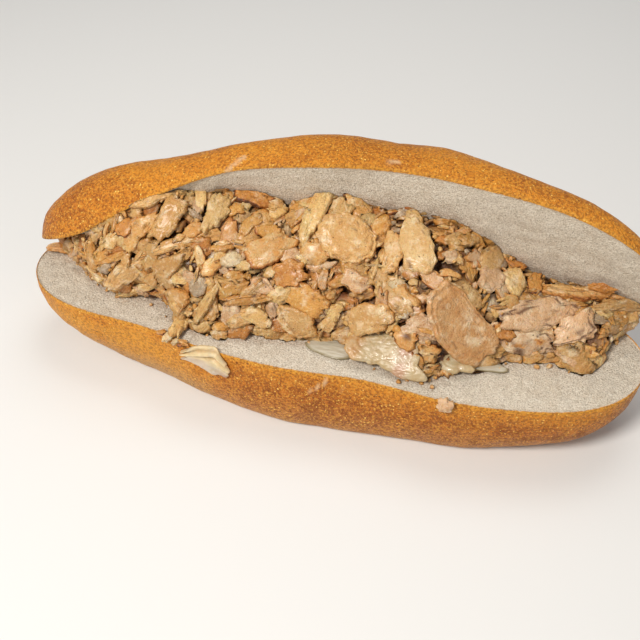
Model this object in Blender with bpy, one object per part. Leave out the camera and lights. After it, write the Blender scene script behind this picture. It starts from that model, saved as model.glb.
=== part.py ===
"""A chicken cheesesteak: a long roll cut along its front and folded open, with chopped chicken,
melted cheese and onion heaped between its two halves. Lengths below are millimetres and angles are
degrees. X runs along the roll, Y from its open front to its hinge, and Z up from the flat underside.
metres() turns each finished shape into Blender's units, centred over the origin."""

import math
import random

import bmesh
import bpy
from mathutils import Matrix, Vector, noise

MM = 0.001

# The roll. Each list has one value for each station along X.
STATION_X = (-150, -115, -85, -50, -10, 30, 70, 110, 150)
CUT_WIDTH = (82, 72, 67, 70, 72, 70, 74, 76, 80)  # from the hinge line to the front of the cut
FRONT_BULGE = (2, 3, 5, 7, 10, 10, 5, 3, 3)  # how far the lower crust swells past the cut
OPENING = (27, 40, 60, 75, 81, 87, 82, 78, 70)  # angle between the two cut faces
UPPER_DEPTH = (48, 45, 36, 33, 39, 40, 34, 28, 24)  # from the upper cut face to the crust's crown
HINGE_Y = 33.0  # the hinge line, where the knife stopped
CUT_Z = 40.0  # height of the lower cut face
LOWER_DEPTH = 54.0  # the lower crust's depth before its underside is flattened
HINGE_CRUST = 9.0  # bread left behind the knife
BACK_TUCK = 3.0
SEAT_BLEND = 2.5  # how gently the crust runs into the flat underside
LOWER = {"centre": 2.0, "reach": 153.0, "tip": 29.0, "left": 2.6, "squareness": 0.85, "round": 0.75}
UPPER = {"centre": 5.0, "reach": 152.0, "tip": 27.0, "left": 2.0, "squareness": 0.88, "round": 0.88}
RIGHT_BLUNTNESS = 3.6
BACK_BLUNTNESS = 4.5
LEFT_DEPTH_BLUNTNESS = 2.6
DEPTH_ROOT = 2.2
ROLL_RINGS = 32
ROLL_SEGMENTS = 24
UNEVEN = 1.2  # how far dents and swells move the crust
LONG_SWELL, SHORT_SWELL, TWIST = 17.0, 9.5, 41.0  # how long they are along X
CORNER = {"at": (-127, 18, 44), "size": (18, 13, 12)}  # the left corner, which the knife left joined

# The heap of chicken: its foot on the lower cut face and its top on the upper one.
HEAP_X = (-131, -112, -100, -80, -60, -40, -20, 0, 20, 40, 60, 80, 100, 120, 140, 152)
HEAP_FOOT_Y = (4, -7, -13, -16, -23, -25, -21, -18, -19, -27, -27, -15, -6, -4, 8, 18)
HEAP_REACH = (20, 32, 42, 54, 54, 51, 47, 52, 47, 47, 46, 34, 24, 21, 18, 14)
HEAP_CROWN = (3, 5, 7, 9, 10, 10, 10, 10, 10, 10, 10, 9, 7, 6, 4, 2)
CORE_SINK = 1.4  # the core lies this far under the chopped pieces' middles
CORE_RINGS = 40
CORE_SEGMENTS = 18
CORE_RELIEF = 2.0
GAP = 0.45  # air between touching pieces
UPPER_GAP = 0.8
STAGGER = 0.011  # each piece stops this much short of the one before, so that no two faces meet

# The pieces that show. Each row: x, climb from the foot (0) to the top (1), length, width, turn, kind.
CHOPPED = (
    (-124, 0.12, 9, 6, 20, "chunk"),
    (-123, 0.60, 13, 6, 80, "strand"),
    (-120, 0.35, 16, 6, 70, "strand"),
    (-115, 0.18, 8, 6, 20, "chunk"),
    (-108, 0.75, 16, 7, 60, "strand"),
    (-105, 0.50, 16, 7, 10, "strand"),
    (-94, 0.36, 18, 12, 5, "slab"),
    (-93, 0.87, 15, 8, 60, "chunk"),
    (-88, 0.12, 20, 7, 20, "strand"),
    (-88, 1.02, 18, 8, 40, "slab"),
    (-83, 0.55, 15, 12, 30, "slab"),
    (-77, 0.83, 27, 12, 65, "slab"),
    (-74, 0.40, 18, 12, 35, "slab"),
    (-72, 0.63, 20, 6, 25, "strand"),
    (-67, 0.82, 10, 9, 0, "chunk"),
    (-62, 1.00, 14, 6, 120, "strand"),
    (-62, 0.22, 14, 12, -50, "slab"),
    (-54, 0.88, 21, 11, 70, "slab"),
    (-53, 0.60, 13, 8, 20, "chunk"),
    (-52, 0.45, 11, 8, 30, "chunk"),
    (-50, 0.22, 22, 6, 58, "strand"),
    (-42, 1.00, 18, 10, -10, "slab"),
    (-43, 0.62, 18, 7, 15, "strand"),
    (-40, 0.45, 12, 8, 0, "chunk"),
    (-38, 0.31, 17, 8, 0, "slab"),
    (-37, 0.15, 18, 16, 30, "slab"),
    (-27, 0.93, 13, 10, 10, "chunk"),
    (-27, 0.64, 26, 15, 25, "slab"),
    (-26, 0.37, 14, 10, -20, "slab"),
    (-26, 0.14, 15, 11, -20, "slab"),
    (-13, 0.47, 18, 15, -20, "slab"),
    (-12, 0.97, 20, 6, 30, "strand"),
    (-10, 0.14, 14, 12, 90, "slab"),
    (-5, 0.28, 25, 15, -45, "slab"),
    (-3, 0.86, 26, 9, 75, "strand"),
    (3, 0.42, 11, 8, 0, "chunk"),
    (8, 0.75, 28, 21, 10, "slab"),
    (13, 0.32, 13, 8, -30, "chunk"),
    (16, 0.53, 24, 10, 5, "slab"),
    (18, 0.95, 12, 10, 0, "chunk"),
    (25, 0.57, 14, 6, 75, "strand"),
    (27, 0.27, 21, 16, 0, "slab"),
    (33, 0.62, 20, 12, 80, "slab"),
    (40, 0.72, 30, 15, 112, "slab"),
    (43, 0.39, 17, 13, 10, "slab"),
    (48, 0.20, 13, 9, 40, "chunk"),
    (50, 0.93, 15, 7, 15, "strand"),
    (60, 0.10, 20, 9, -55, "slab"),
    (60, 0.82, 16, 11, 0, "slab"),
    (65, 0.66, 11, 10, 0, "chunk"),
    (68, 0.33, 32, 20, -50, "slab"),
    (71, 0.54, 14, 10, 0, "chunk"),
    (79, 0.75, 14, 13, 0, "slab"),
    (82, 0.15, 12, 9, 20, "chunk"),
    (89, 0.80, 12, 13, 90, "slab"),
    (98, 0.90, 10, 9, 0, "chunk"),
    (100, 0.50, 42, 15, 3, "slab"),
    (101, 0.15, 26, 11, 0, "slab"),
    (121, 0.42, 19, 15, 70, "slab"),
    (123, 0.12, 19, 9, 5, "slab"),
    (123, 0.90, 42, 7, -2, "strand"),
    (137, 0.35, 24, 8, 2, "strand"),
    (140, 0.75, 25, 8, 0, "strand"),
)
# Pieces that have slid down on to the lower cut face. Each row: x, y, length, width, turn, kind.
FALLEN = (
    (21, -22, 15, 8, -38, "slab"),
    (57, -22, 20, 9, -42, "slab"),
    (-40, -21, 9, 6, 20, "chunk"),
    (-94, -16, 10, 6, 10, "chunk"),
)
LOOSE_STRAND = (-64.5, -25.5, 20, 9, 78, "strand")  # the same, for one strand that lies apart
FALLEN_LIFT = 2.2  # height of a fallen piece's middle over the cut face
# Small chunks that fill the face between the listed pieces: how many are tried, and their sizes.
FILLER_TRIES = 900
FILLER_LENGTH = (8.0, 13.0)
FILLER_ROOM = 3.2
THICKNESS = {"slab": 5.5, "strand": 5.0, "chunk": 7.0}
TORN_EDGE = 0.16  # how far a piece's outline strays, as a share of its size
SCATTER_SEED = 21
NUDGE = 0.12
MOST_ATTEMPTS = 30

# Cheese and onion, each on the lower half: place, size, turn and which way it leans.
CHEESE_SLAB = {"at": (37.5, -24.5, 45.4), "size": (34, 19, 4.6), "turn": -16, "pitch": 26}
CHEESE_TIP = {"at": (71, -21.5, 43.6), "size": (14, 8, 3.6), "turn": -6, "pitch": 14}
CHEESE_FOLD = {"x": (-62, -33), "run": (-2, 13), "widen": 0.35, "thick": 2.4}
ONION_FRONT = {"at": (11, -21.5), "size": (23, 11, 1.3)}
ONION_RIGHT = {"at": (84, -14.5), "size": (17, 7, 1.3)}
CRUMB = {"x": 68, "run": 1.5, "size": (7, 5, 2.6)}  # a crumb stuck on the front edge
SCRAP = {"x": 127, "forward": 26, "size": (9, 6, 3)}  # a scrap stuck on the upper cut face
CLEARANCE = 0.9  # how much bigger the heap's hollow for each of them is
EDGE_STEPS = 40
EDGE_SOFT = 2.5


def glide(x, stations, values):
    """A smooth curve through the stations' values, level with its neighbours' trend."""
    x = min(max(x, stations[0]), stations[-1])
    last = len(stations) - 1
    i = max(k for k in range(last) if stations[k] <= x)

    def slope(k):
        a, b = max(k - 1, 0), min(k + 1, last)
        return (values[b] - values[a]) / (stations[b] - stations[a])

    h = stations[i + 1] - stations[i]
    t = (x - stations[i]) / h
    start = (2 * t**3 - 3 * t**2 + 1) * values[i] + (t**3 - 2 * t**2 + t) * h * slope(i)
    end = (3 * t**2 - 2 * t**3) * values[i + 1] + (t**3 - t**2) * h * slope(i + 1)
    return start + end


def power(value, exponent):
    return math.copysign(abs(value) ** exponent, value)


def rounding(u, bluntness, root=2.0):
    """1 along the roll's middle and 0 at its tips, where |u| is 1."""
    return max(0.0, 1 - abs(u) ** bluntness) ** (1 / root)


def opening(x):
    return math.radians(glide(x, STATION_X, OPENING))


def half_section(half, x):
    """Front and back of a half's cut face, measured forward from the hinge, and its fullness."""
    u = min(max((x - half["centre"]) / half["reach"], -1.0), 1.0)
    front_round = rounding(u, half["left"] if u < 0 else RIGHT_BLUNTNESS)
    back_round = rounding(u, BACK_BLUNTNESS)
    fullness = rounding(u, LEFT_DEPTH_BLUNTNESS if u < 0 else RIGHT_BLUNTNESS, DEPTH_ROOT)
    front = half["tip"] + (glide(x, STATION_X, CUT_WIDTH) - half["tip"]) * front_round
    back = half["tip"] - (half["tip"] + HINGE_CRUST) * back_round
    return front, back, fullness


def seat(z):
    """Flattens the underside at z = 0, with a soft corner."""
    if z > SEAT_BLEND:
        return z
    return (z + SEAT_BLEND) ** 2 / (4 * SEAT_BLEND) if z > -SEAT_BLEND else 0.0


def unevenness(x, angle, phase):
    """Slow dents and swells of the baked crust, fading to nothing at the cut."""
    long = math.sin(x / LONG_SWELL + phase) * math.cos(2 * angle + x / TWIST)
    short = math.sin(x / SHORT_SWELL - 2 * phase)
    return UNEVEN * (long + 0.6 * short) * math.sin(angle)


def lower_point(x, angle):
    """A point of the lower half. angle goes 0 to pi over the crust, then back along the cut."""
    front, back, fullness = half_section(LOWER, x)
    middle, half_width = (front + back) / 2, (front - back) / 2
    if angle > math.pi:
        return Vector((x, HINGE_Y - back - (front - back) * (angle - math.pi) / math.pi, CUT_Z))
    c, s = math.cos(angle), math.sin(angle)
    swell = glide(x, STATION_X, FRONT_BULGE) if c > 0 else BACK_TUCK
    bump = unevenness(x, angle, 0.4) * fullness
    forward = middle + half_width * power(c, LOWER["squareness"]) + swell * fullness * math.sin(2 * angle)
    depth = LOWER_DEPTH * fullness * abs(s) ** LOWER["round"] + bump
    return Vector((x, HINGE_Y - forward, seat(CUT_Z - depth)))


def upper_point(x, angle):
    """The same for the upper half, which is turned up about the hinge line."""
    front, back, fullness = half_section(UPPER, x)
    middle, half_width = (front + back) / 2, (front - back) / 2
    if angle > math.pi:
        return unfold(x, back + (front - back) * (angle - math.pi) / math.pi, 0.0)
    c, s = math.cos(angle), math.sin(angle)
    swell = BACK_TUCK * fullness * math.copysign(abs(math.sin(2 * angle)), c)
    forward = middle + half_width * power(c, UPPER["squareness"]) + swell
    depth = glide(x, STATION_X, UPPER_DEPTH) * fullness * abs(s) ** UPPER["round"]
    return unfold(x, forward, depth + unevenness(x, angle, 2.1) * fullness)


def unfold(x, forward, depth):
    """Places a point of the upper half: forward from the hinge along its cut face, and deep in it."""
    a = opening(x)
    return Vector(
        (
            x,
            HINGE_Y - forward * math.cos(a) + depth * math.sin(a),
            CUT_Z + forward * math.sin(a) + depth * math.cos(a),
        )
    )


def heap_point(x, climb, sink=0.0):
    """The heap's face, climbing from its foot on the lower half to its top on the upper half."""
    a = opening(x)
    reach = glide(x, HEAP_X, HEAP_REACH)
    foot = Vector((x, glide(x, HEAP_X, HEAP_FOOT_Y), CUT_Z + 1))
    top = Vector((x, HINGE_Y - reach * math.cos(a), CUT_Z + reach * math.sin(a)))
    rise = top - foot
    outward = Vector((0, -rise.z, rise.y)).normalized()
    crown = glide(x, HEAP_X, HEAP_CROWN) * 4 * climb * (1 - climb)
    return foot + rise * climb + outward * (crown - sink)


def keep_clear(point, extra=0.0):
    """Moves a point of the filling off the two cut faces."""
    a = opening(point.x)
    inward = Vector((0, -math.sin(a), -math.cos(a)))
    hinge = Vector((point.x, HINGE_Y, CUT_Z))
    short = UPPER_GAP + extra - (point - hinge).dot(inward)
    moved = point + inward * max(short, 0.0)
    moved.z = max(moved.z, CUT_Z + GAP + extra)
    return moved


def face_outwards(shape):
    bmesh.ops.recalc_face_normals(shape, faces=shape.faces)
    if shape.calc_volume(signed=True) < 0:
        bmesh.ops.reverse_faces(shape, faces=shape.faces)


def metres(name, shape, colour, roughness):
    """Makes the node's object from a bmesh in millimetres, with its own material."""
    face_outwards(shape)
    bmesh.ops.transform(shape, matrix=Matrix.Scale(MM, 4), verts=shape.verts)
    bmesh.ops.triangulate(shape, faces=shape.faces)
    mesh = bpy.data.meshes.new(name)
    shape.to_mesh(mesh)
    shape.free()
    material = bpy.data.materials.new(name)
    material.use_nodes = True
    surface = material.node_tree.nodes["Principled BSDF"]
    surface.inputs["Base Color"].default_value = (*colour, 1.0)
    surface.inputs["Roughness"].default_value = roughness
    surface.inputs["Metallic"].default_value = 0.0
    mesh.materials.append(material)
    node = bpy.data.objects.new(name, mesh)
    bpy.context.scene.collection.objects.link(node)
    return node


def ball(rings, segments):
    """A unit ball whose poles lie at both ends of X."""
    shape = bmesh.new()
    bmesh.ops.create_uvsphere(shape, u_segments=segments, v_segments=rings, radius=1.0)
    bmesh.ops.rotate(shape, matrix=Matrix.Rotation(math.radians(90), 3, "Y"), verts=shape.verts)
    return shape


def around(vertex):
    """A ball vertex's angle round X, from 0 to 2 pi."""
    angle = math.atan2(vertex.co.z, vertex.co.y)
    return angle if angle > -1e-6 else angle + 2 * math.pi


def roll_half(half, point):
    shape = ball(ROLL_RINGS, ROLL_SEGMENTS)
    for vertex in shape.verts:
        x = half["centre"] + half["reach"] * vertex.co.x
        vertex.co = point(x, around(vertex))
    return shape


def joined_corner(grow=0.0):
    """The left corner of the roll, where the two halves still hold together."""
    shape = ball(10, 12)
    for vertex in shape.verts:
        reach = [radius + grow for radius in CORNER["size"]]
        vertex.co = Vector([at + v * r for at, v, r in zip(CORNER["at"], vertex.co, reach)])
    return shape


def heap_core():
    """The heap's body, under the pieces that show, filling the fold between the cut faces."""
    shape = ball(CORE_RINGS, CORE_SEGMENTS)
    middle, reach = (HEAP_X[0] + HEAP_X[-1]) / 2, (HEAP_X[-1] - HEAP_X[0]) / 2
    for vertex in shape.verts:
        x = middle + reach * vertex.co.x
        angle = around(vertex)
        full = rounding(vertex.co.x, 5.0)
        centre = (heap_point(x, 0.5) + Vector((x, HINGE_Y, CUT_Z))) / 2
        if angle <= math.pi:
            point = heap_point(x, angle / math.pi, CORE_SINK)
            point += Vector((0, -0.6, 0.7)) * CORE_RELIEF * noise.noise(point / 7) * math.sin(angle)
        else:
            back = 2 - angle / math.pi
            corner = Vector((x, HINGE_Y - 2, CUT_Z))
            far = heap_point(x, 1.0) if back > 0.5 else heap_point(x, 0.0)
            point = corner.lerp(far, abs(2 * back - 1))
        vertex.co = keep_clear(centre.lerp(point, full))
    return shape


def surface_frame(x, climb):
    """Axes of the heap's face at a place: along, up the climb, and outward."""
    here = heap_point(x, climb)
    along = (heap_point(x + 2, climb) - heap_point(x - 2, climb)).normalized()
    up = (heap_point(x, climb + 0.04) - heap_point(x, climb - 0.04)).normalized()
    out = along.cross(up).normalized()
    return here, along, out.cross(along), out


def fallen_frame(x, y):
    """The same axes for a piece that lies on the lower cut face."""
    lifted = Vector((x, y, CUT_Z + GAP + FALLEN_LIFT))
    return lifted, Vector((1, 0, 0)), Vector((0, 1, 0)), Vector((0, 0, 1))


def chopped_piece(number, frame, row, dice, grow=0.0):
    """One torn slab, strand or chunk of chicken, lying in the frame it is given."""
    length, width, turn, kind = row
    half_sizes = (length / 2 + grow, width / 2 + grow, THICKNESS[kind] / 2 + grow)
    here, along, up, out = frame
    turned = math.radians(turn)
    long_axis = along * math.cos(turned) + up * math.sin(turned)
    wide_axis = out.cross(long_axis)
    lean = dice.uniform(-0.16, 0.16)
    curl = dice.uniform(0.04, 0.12) * length
    shape = bmesh.new()
    bmesh.ops.create_icosphere(shape, subdivisions=1 if kind == "chunk" or length < 15 else 2, radius=1.0)
    for vertex in shape.verts:
        v = vertex.co.copy()
        flat = Vector((power(v.x, 0.75), power(v.y, 0.75), power(v.z, 0.6)))
        stray = 1 + 2 * TORN_EDGE * noise.noise(v * 1.7 + Vector((number, 0, 0)))
        a = flat.x * half_sizes[0] * stray
        b = flat.y * half_sizes[1] * stray
        c = flat.z * half_sizes[2] + lean * b - curl * (flat.x**2 - 0.35) * 0.5
        placed = here + long_axis * a + wide_axis * b + out * c
        vertex.co = keep_clear(placed, STAGGER * number - grow)
    return shape


def fillers(places, dice):
    """Seeded chunks for the gaps, each kept clear of the pieces that are there already."""
    taken = [(frame[0], (row[0] + row[1]) / 4) for frame, row in places]
    added = []
    for _ in range(FILLER_TRIES):
        x = dice.uniform(HEAP_X[0] + 5, HEAP_X[-1] - 5)
        frame = surface_frame(x, dice.uniform(0.04, 1.0))
        length = dice.uniform(*FILLER_LENGTH)
        width = length * dice.uniform(0.55, 0.9)
        if all((frame[0] - spot).length > reach + FILLER_ROOM for spot, reach in taken):
            taken.append((frame[0], (length + width) / 4))
            added.append((frame, (length, width, dice.uniform(0, 180), "chunk")))
    return added


def placed_lump(size, turn, pitch, at, grow=0.0, number=0):
    """A soft slab of cheese: size, turned about Z and pitched back, with its middle at a place."""
    shape = bmesh.new()
    bmesh.ops.create_icosphere(shape, subdivisions=2, radius=1.0)
    place = Matrix.Rotation(math.radians(turn), 3, "Z") @ Matrix.Rotation(math.radians(pitch), 3, "X")
    for vertex in shape.verts:
        v = vertex.co.copy()
        stray = 1 + 0.28 * noise.noise(v * 1.5 + Vector((0, number * 3.1, 0)))
        flat = Vector((power(v.x, 0.8) * stray, power(v.y, 0.75) * stray, power(v.z, 0.65)))
        half = [s / 2 + grow for s in size]
        point = Vector(at) + place @ Vector((flat.x * half[0], flat.y * half[1], flat.z * half[2]))
        point.z = max(point.z, CUT_Z + GAP - 0.4 * grow)
        vertex.co = point
    return shape


def onion_slice(onion, grow=0.0):
    """A thin slice that lies on the lower cut face."""
    length, width, thick = (s + 2 * grow for s in onion["size"])
    x, y = onion["at"]
    shape = bmesh.new()
    bmesh.ops.create_cone(shape, cap_ends=True, segments=16, radius1=1.0, radius2=0.88, depth=1.0)
    for vertex in shape.verts:
        across = 1 + 0.10 * math.sin(3 * math.atan2(vertex.co.y, vertex.co.x) + x)
        vertex.co = Vector(
            (
                x + vertex.co.x * length / 2 * across,
                y + vertex.co.y * width / 2 * across,
                CUT_Z + GAP - grow + (vertex.co.z + 0.5) * thick,
            )
        )
    return shape


def over_edge(x, run):
    """A place on the lower half by its run: behind the front of the cut, or on down the crust."""
    edge = lower_point(x, 0.0)
    if run <= 0:
        return edge + Vector((0, -run, 0))
    path = [lower_point(x, math.pi / 2 * k / EDGE_STEPS) for k in range(EDGE_STEPS + 1)]
    for start, end in zip(path, path[1:]):
        step = (end - start).length
        if run <= step:
            return start.lerp(end, run / step)
        run -= step
    return path[-1]


def draped(x, run, height):
    """A place over the front edge, a height out from the bread, rounding its corner softly."""
    ahead, behind = over_edge(x, run + EDGE_SOFT), over_edge(x, run - EDGE_SOFT)
    fall = ahead - behind
    out = Vector((0, fall.z, -fall.y)).normalized()
    return over_edge(x, run) + out * height


def cheese_fold(grow=0.0):
    """A soft sheet of cheese that hangs over the front edge and down the crust."""
    (x0, x1), (r0, r1) = CHEESE_FOLD["x"], CHEESE_FOLD["run"]
    widen, thick = CHEESE_FOLD["widen"], CHEESE_FOLD["thick"]
    shape = bmesh.new()
    bmesh.ops.create_icosphere(shape, subdivisions=3, radius=1.0)
    for vertex in shape.verts:
        v = vertex.co.copy()
        out = (v.x**2 + v.y**2) ** 0.5
        edge = 1 + 0.22 * noise.noise(Vector((v.x * 1.6, v.y * 1.6, 4.0)))
        square = power(out, 0.55) / out * edge if out > 1e-6 else 0.0
        a, b = v.x * square, v.y * square
        x = (x0 + x1) / 2 + a * ((x1 - x0) / 2 + grow)
        run = (r0 + r1) / 2 - b * ((r1 - r0) / 2 + grow) * (1 + widen * a) + widen * a * 4
        rise = (thick + grow) * (0.5 + power(v.z, 0.7) / 2)
        vertex.co = draped(x, run, GAP + 0.5 + rise)
    return shape


def small_lump(size, place, grow=0.0):
    """A little lump for one that clings to the bread. place maps along, across and out."""
    shape = bmesh.new()
    bmesh.ops.create_icosphere(shape, subdivisions=2, radius=1.0)
    length, width, thick = (s / 2 + grow for s in size)
    middle = GAP + 0.4 + 0.65 * size[2]
    for vertex in shape.verts:
        v = vertex.co * (1 + 0.5 * noise.noise(vertex.co * 1.9 + Vector(size)))
        vertex.co = place(v.x * length, v.y * width, middle + v.z * thick)
    return shape


def edge_crumb():
    return small_lump(CRUMB["size"], lambda a, b, c: draped(CRUMB["x"] + a, CRUMB["run"] + b, c))


def bread_scrap(grow=0.0):
    def place(a, b, c):
        return unfold(SCRAP["x"] + a, SCRAP["forward"] + b, -c)

    return small_lump(SCRAP["size"], place, grow)


def scratch_object(shape, collection, name):
    """An object that a Boolean reads and that is removed afterwards."""
    face_outwards(shape)
    mesh = bpy.data.meshes.new(name)
    shape.to_mesh(mesh)
    shape.free()
    operand = bpy.data.objects.new(name, mesh)
    operand.hide_render = True
    operand.display_type = "WIRE"
    collection.objects.link(operand)
    return operand


def combine(base_shape, other_shapes, operation, solver):
    """One Boolean of a shape with a collection of others. It gives back a bmesh."""
    scene = bpy.context.scene.collection
    group = bpy.data.collections.new("operands")
    scene.children.link(group)
    base = scratch_object(base_shape, scene, "base")
    for k, other in enumerate(other_shapes):
        scratch_object(other, group, f"operand_{k}")
    boolean = base.modifiers.new("combine", "BOOLEAN")
    boolean.operation = operation
    boolean.operand_type = "COLLECTION"
    boolean.collection = group
    boolean.solver = solver
    bpy.context.view_layer.update()
    result = bmesh.new()
    result.from_object(base, bpy.context.evaluated_depsgraph_get())
    for operand in [base, *group.objects]:
        bpy.data.objects.remove(operand)
    bpy.data.collections.remove(group)
    result = keep_largest(result)
    bmesh.ops.triangulate(result, faces=result.faces)
    return result


def keep_largest(shape):
    """Drops loose scraps and fills sealed hollows: only the largest connected skin stays."""
    unseen = set(shape.verts)
    islands = []
    while unseen:
        stack = [unseen.pop()]
        island = set(stack)
        while stack:
            for edge in stack.pop().link_edges:
                for vertex in edge.verts:
                    if vertex in unseen:
                        unseen.discard(vertex)
                        island.add(vertex)
                        stack.append(vertex)
        islands.append(island)
    largest = max(islands, key=len)
    bmesh.ops.delete(shape, geom=[v for v in shape.verts if v not in largest], context="VERTS")
    return shape


def build_roll():
    halves = [roll_half(UPPER, upper_point), joined_corner()]
    roll = combine(roll_half(LOWER, lower_point), halves, "UNION", "EXACT")
    return metres("roll", roll, (0.66, 0.36, 0.12), 0.6)


def loose_strand(grow=0.0):
    x, y = LOOSE_STRAND[:2]
    return chopped_piece(0, fallen_frame(x, y), LOOSE_STRAND[2:], random.Random(SCATTER_SEED), grow)


def heap_places(dice):
    places = [(surface_frame(*row[:2]), row[2:]) for row in CHOPPED]
    places += [(fallen_frame(*row[:2]), row[2:]) for row in FALLEN]
    return places + fillers(places, dice)


def whole_heap(attempt):
    """The core with every piece fused on and room left for what lies against it."""
    dice = random.Random(SCATTER_SEED)
    nudge = random.Random(attempt)
    pieces = []
    for k, (frame, row) in enumerate(heap_places(dice)):
        here = frame[0] + Vector([nudge.uniform(-NUDGE, NUDGE) for _ in range(3)])
        pieces.append(chopped_piece(k, (here, *frame[1:]), row, dice))
    heap = combine(heap_core(), pieces, "UNION", "MANIFOLD")
    hollows = [
        joined_corner(CLEARANCE),
        loose_strand(CLEARANCE),
        placed_lump(**CHEESE_SLAB, grow=CLEARANCE, number=1),
        placed_lump(**CHEESE_TIP, grow=CLEARANCE, number=2),
        onion_slice(ONION_FRONT, CLEARANCE),
        onion_slice(ONION_RIGHT, CLEARANCE),
        cheese_fold(CLEARANCE),
        bread_scrap(CLEARANCE),
    ]
    return combine(heap, hollows, "DIFFERENCE", "MANIFOLD")


def build_chicken():
    """Where pieces cross, more than two faces may meet at an edge. They are then nudged and fused again."""
    for attempt in range(MOST_ATTEMPTS):
        heap = whole_heap(attempt)
        touching = [edge for edge in heap.edges if len(edge.link_faces) != 2]
        print("attempt", attempt, "touching edges", len(touching))
        if not touching:
            break
        heap.free()
    return metres("chicken", heap, (0.62, 0.40, 0.20), 0.55)


def build_cheese_and_onion():
    pale, grey = (0.80, 0.68, 0.44), (0.55, 0.52, 0.42)
    metres("cheese_slab", placed_lump(**CHEESE_SLAB, number=1), pale, 0.4)
    metres("cheese_tip", placed_lump(**CHEESE_TIP, number=2), pale, 0.4)
    metres("cheese_fold", cheese_fold(), pale, 0.4)
    metres("strand_in_front", loose_strand(), (0.62, 0.40, 0.20), 0.55)
    metres("crumb_on_edge", edge_crumb(), (0.55, 0.38, 0.28), 0.6)
    metres("scrap_on_bread", bread_scrap(), (0.62, 0.36, 0.15), 0.55)
    metres("onion_front", onion_slice(ONION_FRONT), grey, 0.3)
    metres("onion_right", onion_slice(ONION_RIGHT), grey, 0.3)


def centre_on_origin(nodes):
    """Puts the origin under the middle of the sandwich's box, at its flat underside."""
    points = [v.co for node in nodes for v in node.data.vertices]
    low = Vector([min(p[k] for p in points) for k in range(3)])
    high = Vector([max(p[k] for p in points) for k in range(3)])
    middle = (low + high) / 2
    for node in nodes:
        node.data.transform(Matrix.Translation((-middle.x, -middle.y, -low.z)))
    print("moved by", -middle.x / MM, -middle.y / MM, -low.z / MM)


def main():
    for old in list(bpy.data.objects):
        bpy.data.objects.remove(old)
    build_roll()
    build_chicken()
    build_cheese_and_onion()
    nodes = [o for o in bpy.context.scene.objects if o.type == "MESH"]
    centre_on_origin(nodes)
    for node in nodes:
        print(node.name, len(node.data.polygons), "triangles")


main()
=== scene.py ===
import math
import random
from functools import lru_cache

import bmesh
import bpy
from mathutils import Matrix, Vector, noise


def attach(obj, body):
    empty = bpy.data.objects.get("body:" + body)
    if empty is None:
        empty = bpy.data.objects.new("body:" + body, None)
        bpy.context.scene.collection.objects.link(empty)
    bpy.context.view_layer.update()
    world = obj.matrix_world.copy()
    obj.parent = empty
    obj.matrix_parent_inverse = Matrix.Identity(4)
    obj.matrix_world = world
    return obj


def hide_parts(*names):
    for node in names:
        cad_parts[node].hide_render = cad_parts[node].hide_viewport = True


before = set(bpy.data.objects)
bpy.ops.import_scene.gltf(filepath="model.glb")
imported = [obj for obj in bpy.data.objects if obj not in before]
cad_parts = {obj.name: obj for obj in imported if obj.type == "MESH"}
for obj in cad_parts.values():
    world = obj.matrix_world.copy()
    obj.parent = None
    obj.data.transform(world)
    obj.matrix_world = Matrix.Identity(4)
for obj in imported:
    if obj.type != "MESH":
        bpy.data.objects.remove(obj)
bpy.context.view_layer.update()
print("frame loaded")

mm = 0.001
toFrame = Vector((-3.0, -13.767, 0.0))  # from the drawing's own millimetres to the frame


# How the roll opens, at stations along its length, in millimetres and degrees.
opened = {
    "x": (-150, -115, -85, -50, -10, 30, 70, 110, 150),
    "cutWidth": (82, 72, 67, 70, 72, 70, 74, 76, 80),
    "frontBulge": (2, 3, 5, 7, 10, 10, 5, 3, 3),
    "angle": (27, 40, 60, 75, 81, 87, 82, 78, 70),
    "upperDepth": (48, 45, 36, 33, 39, 40, 34, 28, 24),
    "hingeY": 33.0,
    "cutZ": 40.0,
    "hingeCrust": 9.0,
    "backTuck": 3.0,
}
# Each half's plan: its middle and reach along X, how deep its tips lie behind the cut, how blunt its left
# end is, and how square and how round its section is.
lowerHalf = {"centre": 2.0, "reach": 153.0, "tip": 29.0, "left": 2.6, "squareness": 0.85, "round": 0.77}
upperHalf = {"centre": 5.0, "reach": 152.0, "tip": 27.0, "left": 2.0, "squareness": 0.88, "round": 0.88}
lowerShape = {"depth": 52.5, "seatBlend": 3.0}
endShape = {"right": 3.6, "back": 4.5, "leftDepth": 2.6, "depthRoot": 2.2}
swells = {"height": 1.2, "long": 17.0, "short": 9.5, "twist": 41.0}


@lru_cache(maxsize=None)
def glide(x, stations, values):
    # a smooth curve through the stations' values
    x = min(max(x, stations[0]), stations[-1])
    last = len(stations) - 1
    i = max(k for k in range(last) if stations[k] <= x)

    def slope(k):
        a, b = max(k - 1, 0), min(k + 1, last)
        return (values[b] - values[a]) / (stations[b] - stations[a])

    h = stations[i + 1] - stations[i]
    t = (x - stations[i]) / h
    start = (2 * t**3 - 3 * t**2 + 1) * values[i] + (t**3 - 2 * t**2 + t) * h * slope(i)
    end = (3 * t**2 - 2 * t**3) * values[i + 1] + (t**3 - t**2) * h * slope(i + 1)
    return start + end


def along(x, what):
    return glide(round(x, 3), opened["x"], opened[what])


def power(value, exponent):
    return math.copysign(abs(value) ** exponent, value)


def smooth(value, low, high):
    t = min(max((value - low) / (high - low), 0.0), 1.0)
    return t * t * (3 - 2 * t)


def rounding(u, bluntness, root=2.0):
    # 1 along the middle and 0 at the tips, where |u| is 1
    return max(0.0, 1 - abs(u) ** bluntness) ** (1 / root)


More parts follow.
